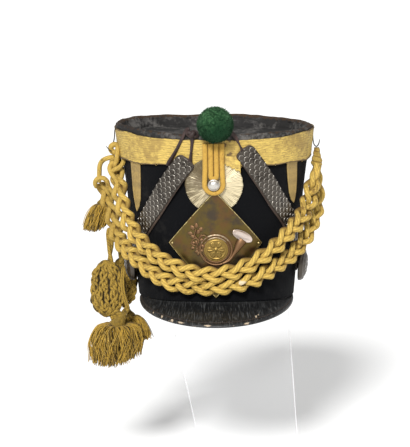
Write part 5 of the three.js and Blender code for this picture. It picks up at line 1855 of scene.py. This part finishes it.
@dataclass
class CapLines:
    """Plaited swags, their ring, knot and hooks, and the raquettes and tassels that hang from them.

    A route's rows are azimuth, height and standoff. Those of the tails, bights, loose cord and lashing are
    x, y and z. A spread has shares of a swag's length and the plait's width there.
    """

    upper: Route = (
        (-80.5, 354, 8.4), (-82.5, 342, 8.8), (-78.4, 331, 9.2), (-73.8, 320.4, 10.6),
        (-70.3, 310.3, 12.2), (-67.1, 300.1, 12.6), (-63.2, 288.9, 12.6), (-57.7, 279.4, 12.8),
        (-52, 270.9, 13), (-45.7, 263.9, 13), (-35.1, 253.3, 12.6), (-25.5, 246, 12.2),
        (-13.9, 240.3, 12), (-2.1, 238.7, 12), (11.6, 243, 12), (21.6, 250.5, 12.2), (30.2, 258.7, 12.6),
        (37.6, 267, 12.8), (43.8, 275.5, 13), (50.6, 283.7, 13), (58.2, 291.6, 13), (62.7, 300.2, 12.8),
        (67.9, 308.7, 12.6), (70.6, 318, 12.4), (74, 327, 12.2), (79, 338, 12), (81.1, 346.2, 12),
    )
    lower: Route = (
        (-88, 323, 27.4), (-88, 312, 24.6), (-87, 301.8, 22.4), (-86, 290.8, 20.2), (-84, 280.3, 18.8),
        (-82, 271.7, 18.2), (-77, 262, 16.2), (-67.8, 255, 13.6), (-57.1, 247.4, 11.6), (-48.1, 239, 10),
        (-38.5, 231.6, 9.2), (-28.5, 227, 9), (-14.7, 224.9, 8.8), (-0.4, 224.6, 8.8), (12.2, 227.4, 8.8),
        (23.8, 231.6, 8.8), (34, 238.6, 9), (47.2, 248.6, 9.6), (57.2, 257.8, 11.4), (66, 267.9, 13.6),
        (73, 280.2, 15.8), (80, 294, 17), (86.5, 307, 17), (89, 321, 15), (87.6, 334, 13),
        (84.4, 346.2, 12),
    )
    upper_spread: Route = (
        (0.0, 0.5), (0.04, 0.75), (0.09, 1.0), (0.2, 1.04), (0.3, 1.04), (0.42, 1.0), (0.75, 1.0),
        (0.84, 1.15), (0.92, 1.1), (0.955, 0.8), (0.975, 0.3), (1.0, 0.24),
    )
    lower_spread: Route = (
        (0.0, 0.5), (0.04, 0.85), (0.08, 1.04), (0.22, 1.06), (0.32, 1.02), (0.45, 1.0), (0.85, 1.0),
        (0.93, 0.8), (0.97, 0.3), (1.0, 0.24),
    )
    # Where the lower swag is frayed, as azimuth, height and standoff, and how far that reaches.
    frayed_at: tuple = (15.9, 229.5, 13.5)
    frayed_half: tuple = (6.0, 7.0, 4.4)
    core_share: float = 0.36
    core_radius: float = 3.6
    core_sunk: float = 3.4
    loop_left: Route = (
        (-80.6, 354.2, 9.4), (-81.4, 353.6, 13), (-83, 352, 17.6), (-84.4, 350, 21.2), (-86, 346.2, 24.6),
        (-87, 341, 26.6), (-88, 333, 28), (-88, 323.8, 30),
    )
    drop_front: Route = ((-84.2, 268, 26.2), (-82.9, 258, 26), (-82.4, 247, 27.6), (-81.8, 235.7, 28.8))
    drop_back: Route = ((-84.2, 267.5, 18.6), (-91.6, 257, 17.6), (-96.4, 246, 16.6), (-97.4, 237.7, 16.6))
    drop_turn: Route = (
        (-82.2, 262, 19.5), (-82.8, 268, 19.5), (-83.4, 272.4, 21.4), (-84, 272.6, 24.6), (-84.2, 267, 26.4),
    )
    tail_front: Route = (
        (-120.5, -20.5, 222.0), (-122.3, -21.0, 206.0), (-120.0, -21.6, 190.0), (-115.5, -22.6, 178.0),
        (-113.6, -23.0, 174.0),
    )
    tail_back: Route = (
        (-106.2, 14.6, 224.0), (-106.0, 13.4, 209.0), (-104.5, 13.4, 194.0), (-102.0, 13.4, 180.0),
    )
    drop_pitch: float = 60.0
    drop_apart: float = 1.9
    drop_radius: float = 2.1
    hooks: tuple = (
        ("hook_left", ((-79, 388, 3), (-79.4, 383.4, 4.8), (-82, 374, 6.2), (-84, 366, 9), (-83.5, 362.2, 11),
                       (-80, 361.4, 11.9), (-76.6, 361.6, 13.4), (-75.6, 364.5, 16), (-75.6, 368, 18.4))),
        ("hook_right", ((82, 388, 2.4), (84, 383.4, 2.8), (84, 376, 3.4), (82.5, 368, 5.8), (80.5, 366, 9.4),
                        (79.5, 369.5, 11.6), (79, 374.5, 12.2))),
    )
    hook_radius: float = 0.65
    single: float = 5.4
    plait: Plait = Plait()
    # Radius, thickness and middle of the ring.
    ring: tuple = (4.2, 6.2, (-112.2, -20.4, 363.8))
    bights: tuple[Route, ...] = (
        ((-108.9, -25, 367.4), (-108.8, -27, 362.1), (-109.3, -28, 355.6), (-110.4, -27, 348.9),
         (-113.4, -25, 343.1)),
        ((-105, -24, 362.9), (-101.8, -27, 355.5), (-102.6, -30, 349.2), (-106.5, -32, 344.5),
         (-112.2, -30, 341.3), (-116.7, -26, 337.7)),
        ((-111.2, -24, 349.6), (-115.8, -25, 347), (-117.5, -27, 342.2), (-115.2, -29, 336.4),
         (-110.9, -30, 331), (-108.1, -30, 323.8)),
        ((-105.3, -25, 345.3), (-103.7, -26, 339.9), (-104.1, -28, 334.6), (-106.2, -29, 328.1)),
        ((-133.5, -15, 319.5), (-133.9, -18, 326), (-130.5, -21, 330.5), (-124.7, -22, 330.9),
         (-120.8, -22, 327.4), (-119.2, -20, 321.3), (-116.1, -20, 317), (-111.9, -22, 313.8)),
    )
    # Radius and length of the knot, then its azimuth, standoff and height.
    knot: tuple = (6.5, 22.5, 83.0, 10.6, 353.0)
    # Shares of the knot's length, and its girth there.
    knot_girth: Route = (
        (0, 0), (0.03, 0.55), (0.14, 0.92), (0.26, 1.0), (0.42, 0.9), (0.62, 0.68), (0.85, 0.55), (1, 0.45),
    )
    raquette_front: Raquette = Raquette("raquette_front", (-121.2, -21.0, 207.4), (19.8, 7.0, 32.0), 8.0, 301)
    raquette_back: Raquette = Raquette("raquette_back", (-104.4, 13.4, 209.0), (17.0, 6.0, 28.0), -6.0, 331)
    loose: Route = (
        (-104.7, -24.0, 229.8), (-105.4, -28.0, 214.8), (-103.6, -28.0, 200.2), (-99.4, -24.0, 185.4),
    )
    lashing: Route = (
        (-114.0, -22.0, 184.5), (-110.0, -24.5, 181.5), (-106.5, -24.5, 177.5), (-105.0, -23.0, 173.5),
    )
    tassel_front: Tassel = Tassel(
        "tassel_front", (-99.4, -24.0, 185.4), (-111.3, -23.6, 164.6),
        radius=29.5, fall=45.0, seed=401, count=1100, lean=(-0.06, 0.0), rise=4.0, slant=0.18,
    )
    tassel_back: Tassel = Tassel(
        "tassel_back", (-102.0, 13.4, 181.2), (-97.6, 12.8, 169.4),
        radius=16.5, fall=28.0, seed=411, count=480, lean=(0.4, 0.05), rise=1.0,
    )
    tassel_side: Tassel = Tassel(
        "tassel_side", (-123.7, 3.5, 310.0), (-128.1, 1.8, 298.0),
        radius=13.0, fall=30.0, seed=421, count=400, lean=(-0.36, -0.14),
    )

    def line(self, route: Route, step: float, facing: float = 0.0) -> tuple[Array, Array]:
        """A route's points at even steps.

        Args:
            route: Rows of azimuth, height and standoff.
            step: Length of a step.
            facing: How much the sides of the line turn to face the front.

        Returns:
            The points, and the direction away from the hat at each.
        """
        rough = FORM.route(route)
        count = int(path_length(rough)[-1] / step)
        azimuth, z, _ = spline(route, count).T
        turned_by = facing * smooth_step(np.abs(azimuth), 35, 65)[:, None]
        return spline(rough, count), unit(FORM.outwards(azimuth, z) + turned_by * FORWARD)

    def swag(
        self, name: str, route: Route, spread: Route, seed: int, facing: float, frayed: float
    ) -> None:
        """One plaited swag, with a dark rod in its left part that is all painted shade.

        Args:
            name: Name of the node that it stands for.
            route: Its middle line.
            spread: Shares of its length, and its width there.
            seed: Seed of its unevenness.
            facing: How much its sides turn to face the front.
            frayed: How strongly the frayed place shows on it.
        """
        centre, outward = self.line(route, self.plait.step, facing)
        share = np.linspace(0, 1, len(centre))
        paths = self.plait.strands(centre, outward, np.interp(share, *np.array(spread).T), seed)
        squeeze = 1 + 0.04 * ripple(paths, 11, seed + 2)
        mesh = tubes(paths, self.plait.strand / 2 * squeeze, round_section(self.plait.sides, 0.94), outward)
        skin = mesh.vertices[:-6].reshape(*paths.shape[:2], self.plait.sides, 3)
        height = ((skin - centre[:, None]) * outward[:, None]).sum(-1) / (self.plait.depth / 2)
        # The under mark paints shade where a strand dips under the others; the cords are also darker towards
        # the hat's left side.
        left_darkening = 0.42 * smooth_step(-skin[..., 0], 92, 120)
        mesh.marked("under", np.maximum(0.95 * smooth_step(-height, -0.45, 0.4), left_darkening))
        away = (skin - FORM.point(*self.frayed_at)) / self.frayed_half
        mesh.marked("wear", frayed * np.exp(-(away**2).sum(-1)))
        # A dark rod, all painted shade, fills the gaps in the plait's left part.
        left = share < self.core_share
        sunk = centre - self.core_sunk * outward
        shade_core = tubes(sunk[left], self.core_radius, round_section(10), outward[left]).marked("under", 1.0)
        piece = build(name + "_plait", joined([mesh, shade_core]), Finishes.cord, name)

    def cords(self) -> None:
        """The swags, the single loop on the left and the drops, each with the pieces that it carries."""
        upper_hung = [*self.ring_left(), self.knot_right()]
        lower_hung = self.tassel_side.pieces()
        self.swag("swag_upper", self.upper, self.upper_spread, 201, 2.6, 0.0)
        self.swag("swag_lower", self.lower, self.lower_spread, 211, 3.0, 0.8)
        centre, outward = self.line(self.loop_left, 0.9)
        loop = tubes(centre, self.single / 2, round_section(14), outward)
        piece = build("cord_loop_left_single", loop, Finishes.cord, "cord_loop_left")
        front_hung = [self.drop_bight(), self.raquette_front.weave(), self.loose_cord()]
        front_hung += self.tassel_front.pieces()
        self.drop("drop_cord_front", self.drop_front, self.tail_front, front_hung)
        back_hung = [self.raquette_back.weave(), *self.tassel_back.pieces()]
        self.drop("drop_cord_back", self.drop_back, self.tail_back, back_hung)

    def drop(self, name: str, route: Route, tail: Route, hung: list) -> None:
        """A pair of twisted cords that hangs from a swag and runs on inside its raquette to the tassel.

        Args:
            name: Name of the node that it stands for.
            route: Its free length.
            tail: Points of its length inside the raquette.
            hung: The pieces that it carries. Not used.
        """
        knots = np.vstack([FORM.route(route), tail])
        centre = spline(knots, int(path_length(knots)[-1] / 0.8))
        outward = np.array([-0.75, -0.6, 0.1])
        along = ahead(centre)
        side = unit(np.cross(along, outward))
        turn = (path_length(centre) * TURN / self.drop_pitch + np.array([[0], [np.pi]]))[..., None]
        paths = centre + self.drop_apart * (np.cos(turn) * side + np.sin(turn) * np.cross(side, along))
        mesh = tubes(paths, self.drop_radius, round_section(10), outward)
        piece = build(name + "_pair", mesh, Finishes.olive, name)

    def drop_bight(self) -> Piece:
        """The doubled turn of cord by which the front drop holds on to the swag."""
        path = spline(FORM.route(self.drop_turn), 40) - [1.4, 0.3, 0.0]
        paths = np.stack([path, path + [2.9, 0.6, -0.4]])
        mesh = tubes(paths, 1.8, round_section(10), np.array([-0.6, -0.2, 0.75]))
        return build("drop_cord_bight", mesh, Finishes.olive)

    def hook_wires(self) -> None:
        """The wire hooks on the rim."""
        for name, route in self.hooks:
            path = spline(FORM.route(route), 70)
            radius = self.hook_radius * rounded(70, 0.4)
            mesh = tubes(path, radius, round_section(8), np.array([0.2, -0.9, 0.35]))
            build(name + "_wire", mesh, Finishes.wire, name)

    def ring_left(self) -> list[Piece]:
        """The cord's ring on the left hook, and the short bights that join it to the plaits."""
        radius, thick, at = self.ring
        turn = circle(64)
        path = at + radius * xyz(np.cos(turn), 0.12 * np.sin(2 * turn), np.sin(turn))
        ring = tubes(path, thick / 2, round_section(14), FORWARD, closed=True).marked("under", 0.3)
        made = [build("cord_ring_left_bight", ring, Finishes.cord, "cord_ring_left")]
        size = self.single / 2 * rounded(60, 0.6)
        for number, knots in enumerate(self.bights, 1):
            mesh = tubes(spline(knots, 60), size, round_section(14), np.array([0.0, -1.0, 0.1]))
            made.append(build(f"cord_bight_left_{number}", mesh.marked("under", 0.3), Finishes.cord))
        return made

    def knot_right(self) -> Piece:
        """The knot on the right hook: a pear of tight turns that climb it like a screw's thread."""
        radius, length, azimuth, standoff, z = self.knot
        up = np.linspace(0, 1, 72)[:, None]
        angle = circle(48)
        ridge = np.abs(np.sin(np.pi * (4.0 * up + angle / TURN)))
        reach = radius * np.interp(up, *np.array(self.knot_girth).T) * (0.88 + 0.14 * ridge)
        shape = xyz(reach * np.cos(angle), 0.9 * reach * np.sin(angle), length * (up - 0.5))
        centre = FORM.point(azimuth, z, standoff)
        # Painted shade in the grooves between the turns.
        pear = surface(centre + shape, closed_u=True).marked("under", 0.8 * smooth_step(-ridge, -0.6, -0.1))
        lid = surface(centre + np.concatenate([shape[-1:], shape[-1:] * UP]), closed_u=True)
        return build("cord_knot_right_tied", joined([pear, lid]), Finishes.cord, "cord_knot_right", weld=True)

    def loose_cord(self) -> Piece:
        """The loose doubled cord that lies over the front raquette's edge, and the lashing at its foot."""
        path = spline(self.loose, 50)
        pair = tubes(np.stack([path, path + [2.2, 0.3, 0.6]]), 1.15, round_section(10), FORWARD)
        lashing = tubes(spline(self.lashing, 24), 3.4 * rounded(24, 0.5), round_section(12), FORWARD)
        return build("raquette_loose_cord", joined([pair, lashing]), Finishes.olive)


# Stand


@dataclass
class Stand:
    """The clear stand: a base, an upright sheet that widens to its neck, and a rest under the crown."""

    base: tuple = (-85.0, 112.0, -95.0, 55.0)
    base_top: float = 6.0
    foot: tuple = (-15.0, 94.0)
    neck: tuple = (-54.0, 80.5)
    neck_z: float = 186.0
    rest_z: tuple = (366.7, 371.7)
    rest_half: float = 45.0
    sheet: float = 5.0
    sheet_wide: float = 110.0
    border: float = 1.1

    def bordered(self, *stops: float) -> Array:
        """Places along one side of a sheet, with one close to each end."""
        return np.array([stops[0], stops[0] + self.border, *stops[1:-1], stops[-1] - self.border, stops[-1]])

    def level(self, box: tuple, low: float, high: float) -> Mesh:
        """A level plate between two heights."""
        x, y = np.meshgrid(self.bordered(*box[:2]), self.bordered(*box[2:]))
        return self.edged(xyz(x, y, high), xyz(x, y, low))

    def edged(self, front: Array, back: Array) -> Mesh:
        """A slab whose outermost points are marked for a painted highlight along its edges."""
        mark = np.ones(front.shape[:2])
        mark[1:-1, 1:-1] = 0
        return slab(front, back).marked("wear", mark)

    def sheets(self) -> None:
        """The three sheets as one piece."""
        z = self.bordered(self.base_top, self.neck_z, self.rest_z[0])[:, None]
        share = self.bordered(0.0, self.sheet_wide) / self.sheet_wide
        left, right = (np.interp(z, [self.base_top, self.neck_z], ends) for ends in zip(self.foot, self.neck))
        x = left + share * (right - left)
        half = self.sheet / 2
        parts = [
            self.edged(xyz(x, -half, z), xyz(x, half, z)),
            self.level(self.base, 0.0, self.base_top),
            self.level((*self.neck, -self.rest_half, self.rest_half), *self.rest_z),
        ]
        build("stand_sheets", joined(parts), Finishes.clear, "display_stand", smooth=False)


# Stage


@dataclass
class Studio:
    """The floor, the lights and the camera."""

    target: tuple = (-12.8, 0.0, 277.2)
    distance: float = 2400.0
    elevation: float = 8.5
    frame_height: float = 498.4
    sensor: float = 36.0
    floor_half: float = 30000.0
    floor_z: float = -0.2
    surround: float = 0.42

    def floor(self) -> None:
        """A wide pale floor: a flat grid under the stand."""
        across = np.linspace(-self.floor_half, self.floor_half, 9)
        flat = surface(xyz(*np.meshgrid(across, across), self.floor_z))
        data = bpy.data.meshes.new("floor")
        data.from_pydata((flat.vertices * MM).tolist(), [], flat.faces[0].tolist())
        data.materials.append(Finishes.floor.material())
        piece = bpy.data.objects.new("floor", data)
        bpy.context.scene.collection.objects.link(piece)

    def sun(self, name: str, azimuth: float, elevation: float, strength: float, softness: float) -> None:
        """A far light from a direction, its softness the light's width in degrees."""
        light = bpy.data.lights.new(name, "SUN")
        light.energy = strength
        light.angle = np.radians(softness)
        lamp = bpy.data.objects.new(name, light)
        lamp.rotation_euler = (np.radians(90 - elevation), 0.0, np.radians(azimuth))
        bpy.context.scene.collection.objects.link(lamp)

    def lights(self) -> None:
        """A soft key from the front left, a weak fill from the right, and an even white surround."""
        self.sun("key", -12.0, 31.0, 3.8, 11.0)
        self.sun("fill", 38.0, 48.0, 0.55, 50.0)
        world = bpy.data.worlds.new("surround")
        world.use_nodes = True
        background = world.node_tree.nodes["Background"].inputs
        background["Color"].default_value = (1.0, 1.0, 1.0, 1.0)
        background["Strength"].default_value = self.surround
        bpy.context.scene.world = world
        bpy.context.scene.view_settings.view_transform = "Standard"

    def camera(self) -> None:
        """The camera on the photograph's line of sight."""
        lens = bpy.data.cameras.new("camera")
        lens.sensor_width = self.sensor
        lens.lens = self.sensor * self.distance / self.frame_height
        lens.clip_end = 200.0
        slope = np.radians(self.elevation)
        away = np.array([0.0, -np.cos(slope), np.sin(slope)]) * self.distance
        seat = bpy.data.objects.new("camera", lens)
        seat.location = (np.array(self.target) + away) * MM
        seat.rotation_euler = (np.pi / 2 - slope, 0.0, 0.0)
        bpy.context.scene.collection.objects.link(seat)
        bpy.context.scene.camera = seat


def main() -> None:
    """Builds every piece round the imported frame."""
    logging.basicConfig(level=logging.INFO, format="%(message)s")
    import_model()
    studio = Studio()
    studio.camera()
    lines = CapLines()
    lines.cords()
    lines.hook_wires()
    hat = HatBody()
    hat.felt()
    hat.crown()
    hat.lace()
    hat.flap()
    hat.side_strips()
    peak = Peak()
    peak.leather()
    peak.stitches()
    trim = FrontTrim()
    trim.cockade()
    trim.loop()
    trim.button()
    trim.plate()
    trim.horn()
    trim.twig()
    trim.rosette()
    trim.pompom()
    trim.pompom_wire()
    chin = ChinScales()
    for (side, sign), route in zip(SIDES, chin.routes):
        chin.strap(side, sign, Band(route))
        chin.scales(side, Band(route))
    chin.bosses()
    chin.thongs()
    Stand().sheets()
    studio.floor()
    studio.lights()


if __name__ == "__main__":
    main()
